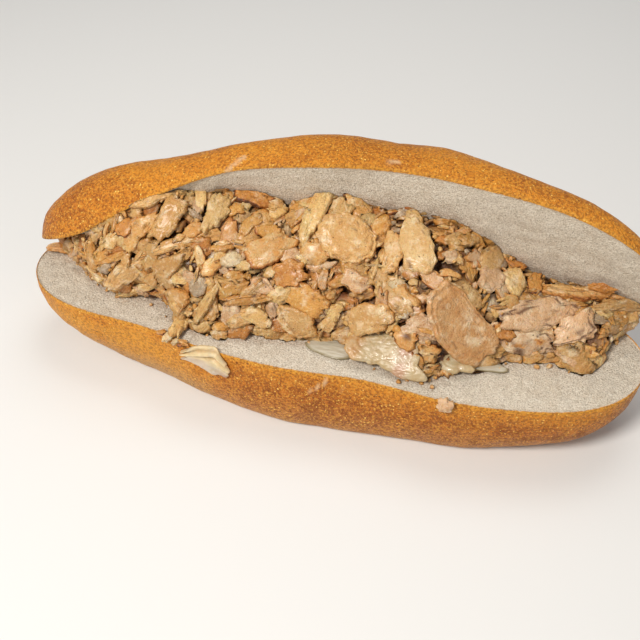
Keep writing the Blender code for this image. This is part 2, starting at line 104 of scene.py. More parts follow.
def halfSection(half, x):
    # front and back of a half's cut face, measured forward from the hinge, and its fullness
    u = min(max((x - half["centre"]) / half["reach"], -1.0), 1.0)
    frontRound = rounding(u, half["left"] if u < 0 else endShape["right"])
    backRound = rounding(u, endShape["back"])
    fullness = rounding(u, endShape["leftDepth"] if u < 0 else endShape["right"], endShape["depthRoot"])
    front = half["tip"] + (along(x, "cutWidth") - half["tip"]) * frontRound
    back = half["tip"] - (half["tip"] + opened["hingeCrust"]) * backRound
    return front, back, fullness


def seat(z):
    # flattens the underside at z = 0, with a soft corner
    soft = lowerShape["seatBlend"]
    if z > soft:
        return z
    return (z + soft) ** 2 / (4 * soft) if z > -soft else 0.0


def unevenness(x, angle, phase):
    # slow dents and swells of the baked crust, fading to nothing at the cut
    long = math.sin(x / swells["long"] + phase) * math.cos(2 * angle + x / swells["twist"])
    short = math.sin(x / swells["short"] - 2 * phase)
    return swells["height"] * (long + 0.6 * short) * math.sin(angle)


def lowerPoint(x, angle):
    # angle goes 0 to pi over the crust from the front edge, then back along the cut
    front, back, fullness = halfSection(lowerHalf, x)
    middle, halfWidth = (front + back) / 2, (front - back) / 2
    hingeY, cutZ = opened["hingeY"], opened["cutZ"]
    if angle > math.pi:
        return Vector((x, hingeY - back - (front - back) * (angle - math.pi) / math.pi, cutZ))
    c, s = math.cos(angle), math.sin(angle)
    swell = along(x, "frontBulge") if c > 0 else opened["backTuck"]
    forward = middle + halfWidth * power(c, lowerHalf["squareness"])
    forward += swell * fullness * math.sin(2 * angle)
    depth = lowerShape["depth"] * fullness * abs(s) ** lowerHalf["round"]
    depth += unevenness(x, angle, 0.4) * fullness
    return Vector((x, hingeY - forward, seat(cutZ - depth)))


def upperPoint(x, angle):
    # the same for the upper half, which is turned up about the hinge line
    front, back, fullness = halfSection(upperHalf, x)
    middle, halfWidth = (front + back) / 2, (front - back) / 2
    if angle > math.pi:
        return unfold(x, back + (front - back) * (angle - math.pi) / math.pi, 0.0)
    c, s = math.cos(angle), math.sin(angle)
    swell = opened["backTuck"] * fullness * math.copysign(abs(math.sin(2 * angle)), c)
    forward = middle + halfWidth * power(c, upperHalf["squareness"]) + swell
    depth = along(x, "upperDepth") * fullness * abs(s) ** upperHalf["round"]
    return unfold(x, forward, depth + unevenness(x, angle, 2.1) * fullness)


def unfold(x, forward, depth):
    # a place on the upper half: forward from the hinge along its cut face, and deep in it
    a = math.radians(along(x, "angle"))
    y = opened["hingeY"] - forward * math.cos(a) + depth * math.sin(a)
    return Vector((x, y, opened["cutZ"] + forward * math.sin(a) + depth * math.cos(a)))


def sortFaces(shape):
    # create_uvsphere gives its faces in another order each run, so they are put in that of their vertices
    shape.verts.index_update()
    count = len(shape.verts)

    def rank(face):
        first, second, third = sorted(v.index for v in face.verts)[:3]
        return (first * count + second) * count + third

    shape.faces.sort(key=rank)


def lyingBall(rings, segments):
    # a unit ball whose poles lie at both ends of X
    shape = bmesh.new()
    bmesh.ops.create_uvsphere(shape, u_segments=segments, v_segments=rings, radius=1.0)
    bmesh.ops.rotate(shape, matrix=Matrix.Rotation(math.radians(90), 3, "Y"), verts=shape.verts)
    sortFaces(shape)
    return shape


def around(vertex):
    angle = math.atan2(vertex.co.z, vertex.co.y)
    return angle if angle > -1e-6 else angle + 2 * math.pi


def ballPoints(shape, detail):
    # a new ball's vertices, each with its place, its distance from the middle in plan and its direction
    for vertex in bmesh.ops.create_icosphere(shape, subdivisions=detail, radius=1.0)["verts"]:
        v = vertex.co.copy()
        yield vertex, v, max(math.hypot(v.x, v.y), 1e-6), math.atan2(v.y, v.x)


def addObject(name, data):
    made = bpy.data.objects.new(name, data)
    bpy.context.scene.collection.objects.link(made)
    return made


def finishPiece(name, shape, material, slot, *nodes):
    # from millimetres in the drawing to an object in the frame that stands for CAD nodes
    bmesh.ops.translate(shape, vec=toFrame, verts=shape.verts)
    bmesh.ops.scale(shape, vec=(mm, mm, mm), verts=shape.verts)
    for face in shape.faces:
        face.smooth = True
    mesh = bpy.data.meshes.new(name)
    shape.to_mesh(mesh)
    shape.free()
    mesh.materials.append(material)
    piece = addObject(name, mesh)
    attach(piece, "root")
    if nodes:
        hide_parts(*nodes)
    print(name, sum(len(p.vertices) - 2 for p in mesh.polygons), "triangles")


def colour(red, green, blue):
    # a colour given in 0 to 255, as the linear values that shaders take
    return tuple(((c / 255 + 0.055) / 1.055) ** 2.4 if c > 10 else c / 3295 for c in (red, green, blue))


def opaque(rgb):
    return (*rgb, 1.0)


def addNode(tree, kind, values=None, **settings):
    node = tree.nodes.new("ShaderNode" + kind)
    for key, value in settings.items():
        setattr(node, key, value)
    for key, value in (values or {}).items():
        if isinstance(value, bpy.types.NodeSocket):
            tree.links.new(value, node.inputs[key])
        else:
            node.inputs[key].default_value = value
    return node


def calc(tree, operation, a, b=0.0, c=0.0):
    return addNode(tree, "Math", {0: a, 1: b, 2: c}, operation=operation).outputs[0]


def blendColours(tree, share, a, b, how="MIX"):
    mix = addNode(tree, "Mix", {0: share, 6: a, 7: b}, data_type="RGBA", blend_type=how)
    return mix.outputs[2]


def ramp(tree, value, low, high, toLow=0.0, toHigh=1.0):
    values = {"Value": value, "From Min": low, "From Max": high, "To Min": toLow, "To Max": toHigh}
    return addNode(tree, "MapRange", values, interpolation_type="SMOOTHSTEP").outputs[0]


def newGroup(name, inputs, outputs):
    tree = bpy.data.node_groups.new(name, "ShaderNodeTree")
    for label, kind, value in inputs:
        socket = tree.interface.new_socket(label, in_out="INPUT", socket_type="NodeSocket" + kind)
        if value is not None:
            socket.default_value = value
    for label in outputs:
        tree.interface.new_socket(label, in_out="OUTPUT", socket_type="NodeSocketFloat")
    return tree, tree.nodes.new("NodeGroupInput").outputs, tree.nodes.new("NodeGroupOutput").inputs


def useGroup(tree, group, values):
    return addNode(tree, "Group", values, node_tree=group).outputs[0]


def makeMottling():
    # soft blotches of a given size in millimetres: areas of 0 and 1
    inputs = [("Vector", "Vector", None), ("Size", "Float", 5.0), ("Detail", "Float", 3.0),
              ("Low", "Float", 0.4), ("High", "Float", 0.6)]
    tree, given, result = newGroup("mottling", inputs, ["Mask"])
    scale = calc(tree, "DIVIDE", 1.0, given["Size"])
    values = {"Vector": given["Vector"], "Scale": scale, "Detail": given["Detail"], "Roughness": 0.6}
    texture = addNode(tree, "TexNoise", values).outputs[0]
    tree.links.new(ramp(tree, texture, given["Low"], given["High"]), result[0])
    return tree


def makeSpecks():
    # small round spots: one in each cell, kept for a share of the cells
    inputs = [("Vector", "Vector", None), ("Spacing", "Float", 3.0), ("Radius", "Float", 0.3),
              ("Share", "Float", 0.5)]
    tree, given, result = newGroup("specks", inputs, ["Mask"])
    scale = calc(tree, "DIVIDE", 1.0, given["Spacing"])
    cells = addNode(tree, "TexVoronoi", {"Vector": given["Vector"], "Scale": scale})
    reach = calc(tree, "MULTIPLY", cells.outputs["Distance"], given["Spacing"])
    pick = addNode(tree, "SeparateColor", {0: cells.outputs["Color"]})
    size = calc(tree, "MULTIPLY", given["Radius"], calc(tree, "ADD", 0.4, pick.outputs[1]))
    inside = calc(tree, "LESS_THAN", reach, size)
    kept = calc(tree, "LESS_THAN", pick.outputs[0], given["Share"])
    tree.links.new(calc(tree, "MULTIPLY", inside, kept), result[0])
    return tree


def makeGrain():
    # a sandy, uneven height at a given size in millimetres
    inputs = [("Vector", "Vector", None), ("Size", "Float", 0.6)]
    tree, given, result = newGroup("grain", inputs, ["Height"])
    scaled = {"Vector": given["Vector"], "Scale": calc(tree, "DIVIDE", 1.0, given["Size"])}
    soft = addNode(tree, "TexNoise", {**scaled, "Detail": 3.0, "Roughness": 0.65}).outputs[0]
    cells = addNode(tree, "TexVoronoi", scaled).outputs["Distance"]
    tree.links.new(calc(tree, "MULTIPLY_ADD", cells, -0.5, soft), result[0])
    return tree


mottling, specks, grain = makeMottling(), makeSpecks(), makeGrain()


def mottled(tree, place, size, detail, low, high):
    values = {"Vector": place, "Size": size, "Detail": detail, "Low": low, "High": high}
    return useGroup(tree, mottling, values)


def speckled(tree, place, spacing, radius, share):
    values = {"Vector": place, "Spacing": spacing, "Radius": radius, "Share": share}
    return useGroup(tree, specks, values)


def grained(tree, place, size):
    return useGroup(tree, grain, {"Vector": place, "Size": size})


def newMaterial(name, **sockets):
    material = bpy.data.materials.new(name)
    material.use_nodes = True
    tree = material.node_tree
    surface = tree.nodes["Principled BSDF"]
    for key, value in sockets.items():
        surface.inputs[key.replace("_", " ")].default_value = value
    return material, tree, surface


def attribute(tree, name, output="Fac"):
    return addNode(tree, "Attribute", attribute_name=name).outputs[output]


def changePlace(tree, operation, place, by):
    return addNode(tree, "VectorMath", {0: place, 1: by}, operation=operation).outputs[0]


def mixValues(tree, share, a, b):
    return addNode(tree, "Mix", {0: share, 2: a, 3: b}, data_type="FLOAT").outputs[0]


darkeners = ("golden", "streak", "pit", "paintedGapShade", "fold")  # these multiply the colour that they lie on
elsewhere = (31, 7, 3)  # a step to another part of the same noise


def layered(tree, shown, colours, layers):
    # lays colours over one another: each row is a mask, its share and the colour's name
    for mask, share, name in layers:
        laid = opaque(colours[name])
        if name in darkeners:
            laid = blendColours(tree, 1.0, shown, laid, "MULTIPLY")
        shown = blendColours(tree, calc(tree, "MULTIPLY", mask, share), shown, laid)
    return shown


def dress(tree, surface, shown, height, distance, strength, roughness=None):
    # gives a surface its colour and fine relief, and its roughness where that varies
    bump = addNode(tree, "Bump", {"Height": height, "Distance": distance, "Strength": strength})
    tree.links.new(shown, surface.inputs["Base Color"])
    tree.links.new(bump.outputs[0], surface.inputs["Normal"])
    if roughness:
        tree.links.new(roughness, surface.inputs["Roughness"])


roll = {
    "rings": 290,
    "segments": 160,
    "crustWaves": ((0.55, 19.0), (0.26, 7.0), (0.07, 1.9)),
    "crumbWaves": ((0.7, 13.0), (0.5, 5.0), (0.2, 2.1)),
    "crumbSink": 0.7,
    "scuffShare": 0.8,
    "moistAndShadedShare": 0.6,
    "corner": {"at": (-127, 18, 44), "size": (18, 13, 12)},
    "gold": colour(226, 144, 38),
    "deepGold": colour(192, 108, 28),
    "brown": colour(138, 70, 20),
    "paleGold": colour(238, 172, 66),
    "tanUnder": colour(194, 156, 108),
    "crumb": colour(231, 218, 198),
    "crumbShade": colour(216, 198, 172),
    "bright": colour(250, 240, 222),
    "pore": colour(158, 138, 110),
    # crumb next to the filling: moisture and painted contact shade
    "moistAndShaded": colour(196, 172, 148),
    "char": colour(104, 52, 18),
    "blister": colour(255, 208, 104),
    "scuff": colour(236, 196, 150),
    # pale scuffs and torn spots of the crust: two ends and a half width
    "scuffs": (((1, -41, 25), (15, -38, 39), 0.55), ((20, -39, 33), (25, -38, 38), 0.45),
               ((-48, 16, 105), (-42, 25, 109), 0.8), ((23, 34, 111), (28, 35, 110.5), 0.9)),
}


def waves(point, layers):
    return sum(height * noise.noise(point / length) for height, length in layers)


def bakedMore(point):
    # where the crust is darker: the lower front towards the right, and the upper half's left tip
    x, y, z = point
    front = smooth(x, -52, -26) * smooth(z, 37, 27) * smooth(z, 2, 14) * smooth(y, 10, -10)
    tip = smooth(x, -96, -142) * smooth(z, 40, 52)
    pale = smooth(x, -34, -78) * smooth(z, 40, 30)
    return 0.62 * front + 0.5 * tip - 0.6 * pale


def scuffedAt(point):
    # how much of a pale scuff a place on the crust has
    most = 0.0
    for start, end, width in roll["scuffs"]:
        start, run = Vector(start), Vector(end) - Vector(start)
        t = min(max((point - start).dot(run) / run.length_squared, 0.0), 1.0)
        away = (point - start - run * t).length
        ragged = 1 + 0.8 * noise.noise(point / 1.3)
        most = max(most, smooth(away, width * 1.6 * ragged, width * 0.5 * ragged))
    return most


def soakedAndShadedAt(point):
    # how moist the cut face is close to the filling, with painted shade where the filling meets it
    x, y, z = point
    if z < opened["cutZ"] + 0.5:
        away = atHeap(x, "footY") - y
    else:
        away = math.hypot(y - opened["hingeY"], z - opened["cutZ"]) - atHeap(x, "reach")
    return roll["moistAndShadedShare"] * smooth(away + 3 * noise.noise(point / 4), 8.0, -1.0)


def rollHalf(half, pointAt):
    shape = lyingBall(roll["rings"], roll["segments"])
    names = ("fromEdge", "baked", "scuffed", "soakedAndShaded")
    fromEdge, baked, scuffed, soakedAndShaded = [shape.verts.layers.float.new(name) for name in names]
    for vertex in shape.verts:
        x = round(half["centre"] + half["reach"] * vertex.co.x, 3)
        angle = around(vertex)
        point = pointAt(x, angle)
        reach = min((point - pointAt(x, 0.0)).length, (point - pointAt(x, math.pi)).length)
        vertex[fromEdge] = reach if angle > math.pi else -reach
        vertex[baked] = bakedMore(point)
        vertex[scuffed] = roll["scuffShare"] * scuffedAt(point) if angle < math.pi else 0.0
        vertex[soakedAndShaded] = soakedAndShadedAt(point) if angle > math.pi else 0.0
        vertex.co = point
    bmesh.ops.recalc_face_normals(shape, faces=shape.faces)
    if shape.calc_volume(signed=True) < 0:
        bmesh.ops.reverse_faces(shape, faces=shape.faces)
    shape.normal_update()
    moves = []
    for vertex in shape.verts:
        reach = vertex[fromEdge]
        if reach > 0:
            move = waves(vertex.co, roll["crumbWaves"]) * smooth(reach, 0, 3)
            move -= roll["crumbSink"] * smooth(reach, 0, 2.2)
        else:
            move = waves(vertex.co, roll["crustWaves"]) * smooth(-reach, 0, 6) * smooth(vertex.co.z, 0, 3)
        moves.append(vertex.normal * move)
    for vertex, move in zip(shape.verts, moves):
        vertex.co += move
    return shape


def addBlob(shape, at, size, rings, segments):
    made = bmesh.ops.create_uvsphere(shape, u_segments=segments, v_segments=rings, radius=1.0)
    for vertex in made["verts"]:
        vertex.co = Vector([a + v * s for a, v, s in zip(at, vertex.co, size)])
    return made["verts"]


def breadMaterial():
    material, tree, surface = newMaterial("bakedBread", Specular_IOR_Level=0.3)
    place = changePlace(tree, "MULTIPLY", addNode(tree, "TexCoord").outputs["Object"], (1000, 1000, 1000))
    shifted = changePlace(tree, "ADD", place, elsewhere)
    height = addNode(tree, "SeparateXYZ", {0: place}).outputs[2]
    ragged = calc(tree, "MULTIPLY", calc(tree, "SUBTRACT", grained(tree, place, 1.6), 0.3), 1.1)
    edge = calc(tree, "ADD", attribute(tree, "fromEdge"), ragged)
    isCrumb = ramp(tree, edge, 0.35, 1.3)
    sand = grained(tree, place, 0.7)

    broad = mottled(tree, place, 24.0, 4.0, 0.38, 0.66)
    patch = mottled(tree, place, 6.0, 5.0, 0.42, 0.68)
    baked = calc(tree, "ADD", attribute(tree, "baked"), calc(tree, "MULTIPLY", broad, 0.4))
    crust = blendColours(tree, baked, opaque(roll["gold"]), opaque(roll["deepGold"]))
    crust = layered(tree, crust, roll, (
        (patch, ramp(tree, baked, 0.25, 1.0, 0.12, 0.7), "brown"),
        (ramp(tree, baked, 0.05, -0.45), 0.5, "paleGold"),
        (ramp(tree, height, 27.0, 8.0), ramp(tree, baked, 0.5, -0.3, 0.3, 0.75), "tanUnder"),
        (ramp(tree, edge, -3.0, 0.2), 0.6, "paleGold"),
        (mottled(tree, place, 1.25, 2.0, 0.42, 0.6), ramp(tree, baked, -0.3, 1.0, 0.5, 0.85), "brown"),
        (mottled(tree, shifted, 1.1, 2.0, 0.5, 0.66), 0.64, "paleGold"),
        (speckled(tree, place, 2.6, 0.42, 0.5), 0.7, "char"),
        (speckled(tree, place, 1.9, 0.34, 0.5), 0.9, "blister"),
        (attribute(tree, "scuffed"), 1.0, "scuff")))
    rough = calc(tree, "MULTIPLY", sand, 1.1)
    crustHeight = calc(tree, "MULTIPLY_ADD", grained(tree, place, 3.2), 0.5, rough)

    smallPores, largePores = speckled(tree, place, 1.0, 0.27, 0.7), speckled(tree, place, 3.2, 0.6, 0.4)
    pores = calc(tree, "MAXIMUM", smallPores, largePores)
    crumb = layered(tree, opaque(roll["crumb"]), roll, (
        (mottled(tree, place, 9.0, 5.0, 0.3, 0.75), 0.45, "crumbShade"),
        # moisture and painted contact shade next to the filling
        (attribute(tree, "soakedAndShaded"), 1.0, "moistAndShaded"),
        (mottled(tree, place, 0.8, 2.0, 0.46, 0.64), 0.34, "pore"),
        (mottled(tree, shifted, 1.0, 2.0, 0.48, 0.66), 0.65, "bright"),
        (pores, 0.34, "pore")))
    crumbHeight = calc(tree, "MULTIPLY_ADD", pores, -0.9, calc(tree, "MULTIPLY", sand, 1.5))

    roughness = mixValues(tree, isCrumb, ramp(tree, patch, 0.0, 1.0, 0.44, 0.58), 0.92)
    shown = blendColours(tree, isCrumb, crust, crumb)
    dress(tree, surface, shown, mixValues(tree, isCrumb, crustHeight, crumbHeight), 0.0006, 1.0, roughness)
    return material


def buildRoll():
    whole = bmesh.new()
    for half, pointAt in ((lowerHalf, lowerPoint), (upperHalf, upperPoint)):
        part = rollHalf(half, pointAt)
        mesh = bpy.data.meshes.new("half")
        part.to_mesh(mesh)
        part.free()
        whole.from_mesh(mesh)
        bpy.data.meshes.remove(mesh)
    fromEdge, soakedAndShaded = whole.verts.layers.float["fromEdge"], whole.verts.layers.float["soakedAndShaded"]
    corner = roll["corner"]
    for vertex in addBlob(whole, corner["at"], corner["size"], 24, 32):
        vertex.co += Vector((1, 1, 1)) * waves(vertex.co, roll["crumbWaves"])
        vertex[fromEdge] = 6.0 * smooth(vertex.co.x, -138, -130) - 2.0
        # the whole corner takes the moisture and painted shade colour
        vertex[soakedAndShaded] = roll["moistAndShadedShare"]
    sortFaces(whole)
    finishPiece("rollBread", whole, breadMaterial(), "bread", "roll")


heap = {
    "x": (-138, -112, -100, -80, -60, -40, -20, 0, 20, 40, 60, 80, 100, 120, 132, 142, 152),
    "footY": (9, -7, -12, -11, -25.5, -25, -21, -18, -19, -27, -27, -15, -6, -5, -3, 17, 26),
    "reach": (30, 51, 56, 58.5, 54, 51, 47, 52, 47, 47, 46, 34, 24, 21, 19, 17, 14),
    "crown": (2, 5, 7, 9, 10, 10, 10, 10, 10, 10, 10, 9, 7, 6, 5, 3, 2),
    "pressedIn": 0.3,  # how far the filling is pressed into the crumb
    "overlap": 1.06,  # how much larger than it shows a traced piece is made, as others lie over its rim
    "seed": 21,
    "scatter": {"climb": (-0.03, 1.08), "slim": (0.45, 0.9), "turn": (32, 42)},
    "browning": (0.0, 0.0, 0.1, 0.2, 0.45, 0.7, 0.95),  # a small piece takes one of these by lot
    # the core's shade is painted shade over the whole core, which lies sunk behind the pieces
    "core": {"rings": 260, "segments": 120, "sink": 3.8, "lumps": ((1.7, 5.5), (0.9, 2.6)), "shade": 0.82,
             "streaked": 0.3,
             "tones": ("sandy", "tan", "rosy", "grey", "cream", "gold", "sandy", "amber")},
    "chunks": {"tries": 3200, "length": (8.0, 19.0), "top": (-2.4, 2.0), "room": 0.5, "lean": 22,
               "thick": (0.22, 0.38), "detail": 3,
               "tones": {"sandy": 6, "tan": 7, "cream": 6, "gold": 4, "amber": 3, "rosy": 4, "grey": 1}},
    "bits": {"tries": 2200, "length": (3.0, 7.5), "top": (-2.6, 0.6), "room": 0.85, "lean": 40,
             "thick": (0.4, 0.6), "detail": 2,
             "tones": {"sandy": 4, "tan": 5, "cream": 6, "gold": 3, "amber": 3, "rosy": 4, "grey": 3}},
    "shreds": {"count": 170, "length": (5.0, 14.0), "width": (1.2, 2.4), "turn": (35, 32), "top": (-0.2, 2.0),
               "tones": ("cream", "gold", "tan"), "browning": (0.0, 0.3, 0.6)},
    "crumbs": {"count": 260, "size": (0.9, 2.4), "top": (0.0, 2.2), "onCut": 9,
               "tones": ("cream", "gold", "tan", "sandy")},
}
largeSlab = 170  # square millimetres, from which on a piece is large
# How each kind of piece is torn: its thickness, how square its outline and its top are, the height and
# size of its clumps, the height of its fibres, and how ragged and how streaked it is.
traitNames = ("thick", "plan", "domed", "clump", "clumpSize", "fibre", "ragged", "streaked")
kinds = {name: dict(zip(traitNames, traits)) for name, traits in {
    "slab": (3.0, 0.34, 0.5, 0.75, 4.4, 0.25, 0.2, 0.3),
    "strand": (3.8, 0.5, 0.6, 0.3, 4.0, 0.7, 0.22, 0.9),
    "chunk": (5.0, 0.45, 0.6, 0.8, 3.6, 0.4, 0.24, 0.4),
    "flake": (3.0, 0.36, 0.5, 0.8, 3.2, 0.45, 0.42, 0.5),
    "onion": (2.4, 0.55, 0.8, 0.1, 5.0, 0.2, 0.1, 0.2),
    "cheese": (4.0, 0.5, 0.7, 0.15, 8.0, 0.12, 0.08, 0.0),
}.items()}
# What all torn pieces share: how far they curl and twist, how their tone varies from piece to piece and
# from clump to clump, their finest relief, and over what depth their painted shade deepens behind the heap's
# face.
torn = {"curl": (-0.05, 0.14), "twist": 0.25, "tint": (0.83, 1.09), "clumpTint": 0.07, "fineRelief": 0.34,
        "ringRelief": 0.3, "shadeDepth": (-0.2, 3.5)}
# What a piece has unless its row says otherwise. A rim or a browned side of None is drawn by lot.
usualTraits = {"lean": 9, "curled": 1.0, "rim": None, "breaks": 3, "breakDepth": 0.28, "brown": 0.0,
               "side": None, "cracked": False, "rings": 0.0, "spots": ()}
tones = {
    "sandy": colour(212, 164, 96),
    "tan": colour(218, 174, 110),
    "cream": colour(232, 194, 128),
    "wheat": colour(220, 184, 126),
    "gold": colour(216, 162, 82),
    "amber": colour(200, 134, 58),
    "baked": colour(228, 174, 114),
    "rosy": colour(222, 184, 144),
    "grey": colour(184, 162, 134),
    "cheesy": colour(226, 200, 156),
}
usualBrowning = {"cream": 0.05, "wheat": 0.05, "rosy": 0.05, "sandy": 0.1, "tan": 0.1, "gold": 0.25}
chickenFinish = {
    "toasted": colour(210, 144, 66),
    "brown": colour(164, 90, 30),
    "char": colour(76, 40, 20),
    "pale": colour(250, 230, 192),
    "speck": colour(112, 68, 34),
    # what the tone is multiplied by in golden blotches, fibres and pits, and the painted shade in gaps and
    # creases
    "golden": (0.84, 0.66, 0.42),
    "streak": (0.80, 0.64, 0.46),
    "pit": (0.66, 0.48, 0.32),
    "paintedGapShade": (0.22, 0.14, 0.09),
}
# What only a few pieces have: cracks, ridges round one side, browned spots and fewer fibres.
plain = {"fibre": 0.1, "streaked": 0.0}
extras = {
    "bigPink": {"cracked": True, "clumpSize": 11.0, "fibre": 0.12, "streaked": 0.0},
    "pinkEnd": {"cracked": True, "clumpSize": 9.0, "fibre": 0.12, "streaked": 0.0},
    "spotted": {**plain, "cracked": True, "clumpSize": 12.0,
                "spots": ((-10.4, 2.0, 1.9), (-4.6, -0.8, 1.8), (6.2, 1.6, 2.3))},
    "bigOval": {"rings": 24.0, "fibre": 0.0, "streaked": 0.0, "ragged": 0.1, "breaks": 0, "plan": 0.46,
                "domed": 0.72},
    "bigRound": {"rings": 15.0, "fibre": 0.2, "streaked": 0.25},
    "goldRound": {**plain, "ragged": 0.16},
    "goldSlab": {"fibre": 0.12, "streaked": 0.1, "ragged": 0.2},
    "roughBrown": plain,
    "tallCream": {"fibre": 0.12, "streaked": 0.1, "ragged": 0.14},
    "lightSlab": {**plain, "ragged": 0.14},
    "roundPale": {**plain, "ragged": 0.12},
    "palePebble": {**plain, "ragged": 0.12},
}
# The pieces that show, kind by kind: place along X and up the climb, length, width, turn, the outline's
# reach in eight directions in tenths, tone, how high the top stands and, where they aren't the usual ones,
# browning and its side in degrees.
slabs = {
    "tallTan": (-73.8, 0.81, 25.1, 13.5, 44, (10, 11, 6, 6, 10, 8, 10, 10), "sandy", 2.6),
    "lowTan": (-80.1, 0.49, 13.2, 9.3, 54, (9, 9, 10, 10, 10, 8, 10, 9), "sandy", 1.2),
    "roundTan": (-69.3, 0.44, 19.5, 9, 39, (10, 11, 10, 12, 9, 10, 9, 9), "sandy", 2.6),
    "topStrip": (-78.8, 0.99, 26.4, 8.6, -3, (9, 8, 10, 11, 10, 11, 4, 3), "tan", 1.5),
    "brownSpot": (-87.1, 0.75, 25.4, 10.1, 32, (9, 7, 9, 8, 7, 10, 6, 12), "sandy", 1.5, 0.5, 0),
    "curlStrip": (-59.8, 0.93, 16, 5.9, -89, (6, 4, 7, 9, 8, 13, 10, 9), "cream", 1.2),
    "curl": (-53.3, 0.82, 22.9, 12.1, 63, (10, 10, 5, 5, 10, 6, 9, 10), "cream", 3),
    "brownTop": (-37.7, 0.97, 19.9, 10.3, -7, (10, 10, 9, 10, 10, 9, 9, 10), "amber", 2.2, 1.4, 180),
    "layered": (-25, 0.92, 11.1, 9.3, 36, (9, 8, 10, 12, 10, 10, 8, 7), "cream", 1.5),
    "goldSlab": (-23.4, 0.63, 25.4, 15.5, 27, (10, 8, 9, 11, 10, 10, 8, 7), "tan", 3, 0.75, 230),
    "roughBrown": (-12.8, 0.46, 17.5, 13.8, 4, (10, 9, 10, 11, 10, 10, 8, 8), "amber", 3, 0.8, 200),
    "goldTop": (-26.1, 0.76, 15.6, 6.4, 5, (10, 8, 9, 8, 9, 10, 10, 9), "gold", 1.8),
    "goldStrip": (-35.4, 0.78, 14.6, 7.3, 55, (9, 9, 8, 9, 10, 9, 6, 11), "gold", 2.2),
    "goldArch": (-38.8, 0.32, 15.9, 6.6, 26, (10, 8, 10, 9, 8, 10, 7, 12), "gold", 2.2),
    "pinkSlab": (-25, 0.36, 14.6, 8.9, -24, (9, 8, 10, 10, 9, 9, 8, 8), "rosy", 1.5),
    "palePink": (-37.1, 0.12, 16.6, 12.2, -78, (9, 9, 10, 10, 9, 9, 9, 7), "rosy", 1.2),
    "creamFold": (-24.5, 0.14, 17.4, 9.4, -29, (8, 6, 9, 10, 9, 11, 8, 8), "cream", 3),
    "creamFoot": (-22.9, 0.03, 12, 4.8, 3, (9, 10, 10, 8, 9, 9, 10, 11), "cream", 1.2),
    "roughGold": (-4.3, 0.29, 24.1, 14.1, -20, (10, 9, 9, 9, 9, 10, 8, 11), "gold", 2, 0.5, 120),
    "lightSlab": (-6.8, 0.12, 20.7, 13.7, -38, (10, 9, 10, 8, 10, 10, 10, 11), "tan", 3, 0.35, 0),
    "brownLow": (-64.8, 0.21, 16.5, 10.1, 22, (10, 10, 9, 12, 9, 11, 9, 9), "sandy", 1.2, 0.5, 0),
    "goldLow": (-46.6, 0.18, 12.8, 7.9, 78, (9, 7, 10, 11, 10, 11, 6, 6), "gold", 1.2),
    "leaf": (-5.2, 0.92, 29.5, 9.9, 64, (9, 9, 10, 9, 10, 9, 8, 8), "cream", 2.6),
    "leafPale": (-9, 0.82, 22, 6.5, 78, (7, 8, 9, 9, 10, 9, 8, 8), "cream", 2.2),
    "bigRound": (9.6, 0.74, 28, 23.7, 12, (9, 8, 10, 9, 10, 12, 10, 11), "tan", 3.2, 0.15, -60),
    "layerLow": (13.8, 0.53, 17.8, 7.3, 6, (9, 12, 9, 9, 8, 7, 9, 10), "sandy", 1.2, 0.2, None),
    "goldTan": (32.3, 0.71, 21.3, 10.1, -77, (9, 9, 10, 8, 9, 11, 7, 12), "tan", 1.6, 0.3, 180),
    "tallCream": (43.2, 0.77, 31.7, 17.0, -58, (9, 9, 8, 8, 10, 12, 8, 12), "wheat", 3.4),
    "paleTan": (61.7, 0.91, 17.3, 9.3, 33, (10, 12, 9, 9, 9, 7, 8, 9), "tan", 1.2),
    "roundPale": (78.1, 0.72, 15.4, 12.1, 44, (10, 10, 10, 10, 10, 9, 9, 9), "rosy", 2),
    "palePebble": (88.6, 0.78, 15.8, 12.6, -78, (9, 8, 10, 10, 10, 11, 10, 9), "cream", 2),
    "midTan": (35.9, 0.42, 23.3, 12.2, -22, (9, 11, 8, 12, 9, 9, 6, 9), "tan", 1),
    "goldRound": (27.6, 0.24, 24.1, 15.5, 25, (10, 10, 9, 9, 10, 10, 10, 11), "tan", 3.4, 0.3, 90),
    "bigOval": (67.8, 0.34, 45.0, 24.5, -44, (9, 10, 8, 11, 10, 10, 10, 10), "baked", 3.6, 0.15, 170),
    "roughTan": (68.3, 0.54, 18.8, 12.6, -19, (9, 9, 9, 8, 10, 8, 9, 8), "tan", 1.8),
    "pinkShade": (51.1, 0.3, 17.3, 12.2, 1, (8, 7, 9, 7, 8, 11, 7, 11), "rosy", 0.8),
    "bigPink": (101.9, 0.49, 43, 15.3, 18, (10, 9, 10, 11, 10, 10, 10, 8), "rosy", 3),
    "spotted": (98.8, 0.17, 29.2, 14.9, -1, (10, 12, 8, 9, 9, 9, 8, 10), "rosy", 2.2),
    "pinkEnd": (120.6, 0.37, 22.3, 16.3, 39, (8, 11, 10, 9, 9, 5, 7, 8), "rosy", 2.6),
    "goldEnd": (122.5, 0.2, 19.2, 6, -4, (10, 10, 10, 10, 9, 10, 9, 11), "gold", 1.2),
    "bandFoot": (121.2, 0.06, 20.2, 7.8, -16, (10, 12, 8, 8, 9, 6, 8, 11), "rosy", 1.2),
    "burntEnd": (98.5, 0.83, 13.5, 9, 81, (10, 8, 9, 8, 9, 9, 10, 11), "gold", 1.5, 1.6, 180),
    "brownEnd": (140.8, 0.36, 27.6, 7.5, -4, (8, 9, 10, 9, 9, 12, 7, 11), "sandy", 1.2, 0.6, 0),
    "smoothTan": (-94.0, 0.35, 27.7, 10.9, 26, (10, 8, 10, 8, 9, 10, 10, 10), "tan", 2.2),
    "paleBar": (-92.8, 0.72, 15, 9.6, 89, (9, 8, 9, 6, 8, 8, 9, 10), "cream", 1.2),
    "tallSlab": (-79.9, 0.53, 16.1, 8.9, 64, (9, 9, 10, 11, 10, 8, 9, 7), "sandy", 1.2),
}
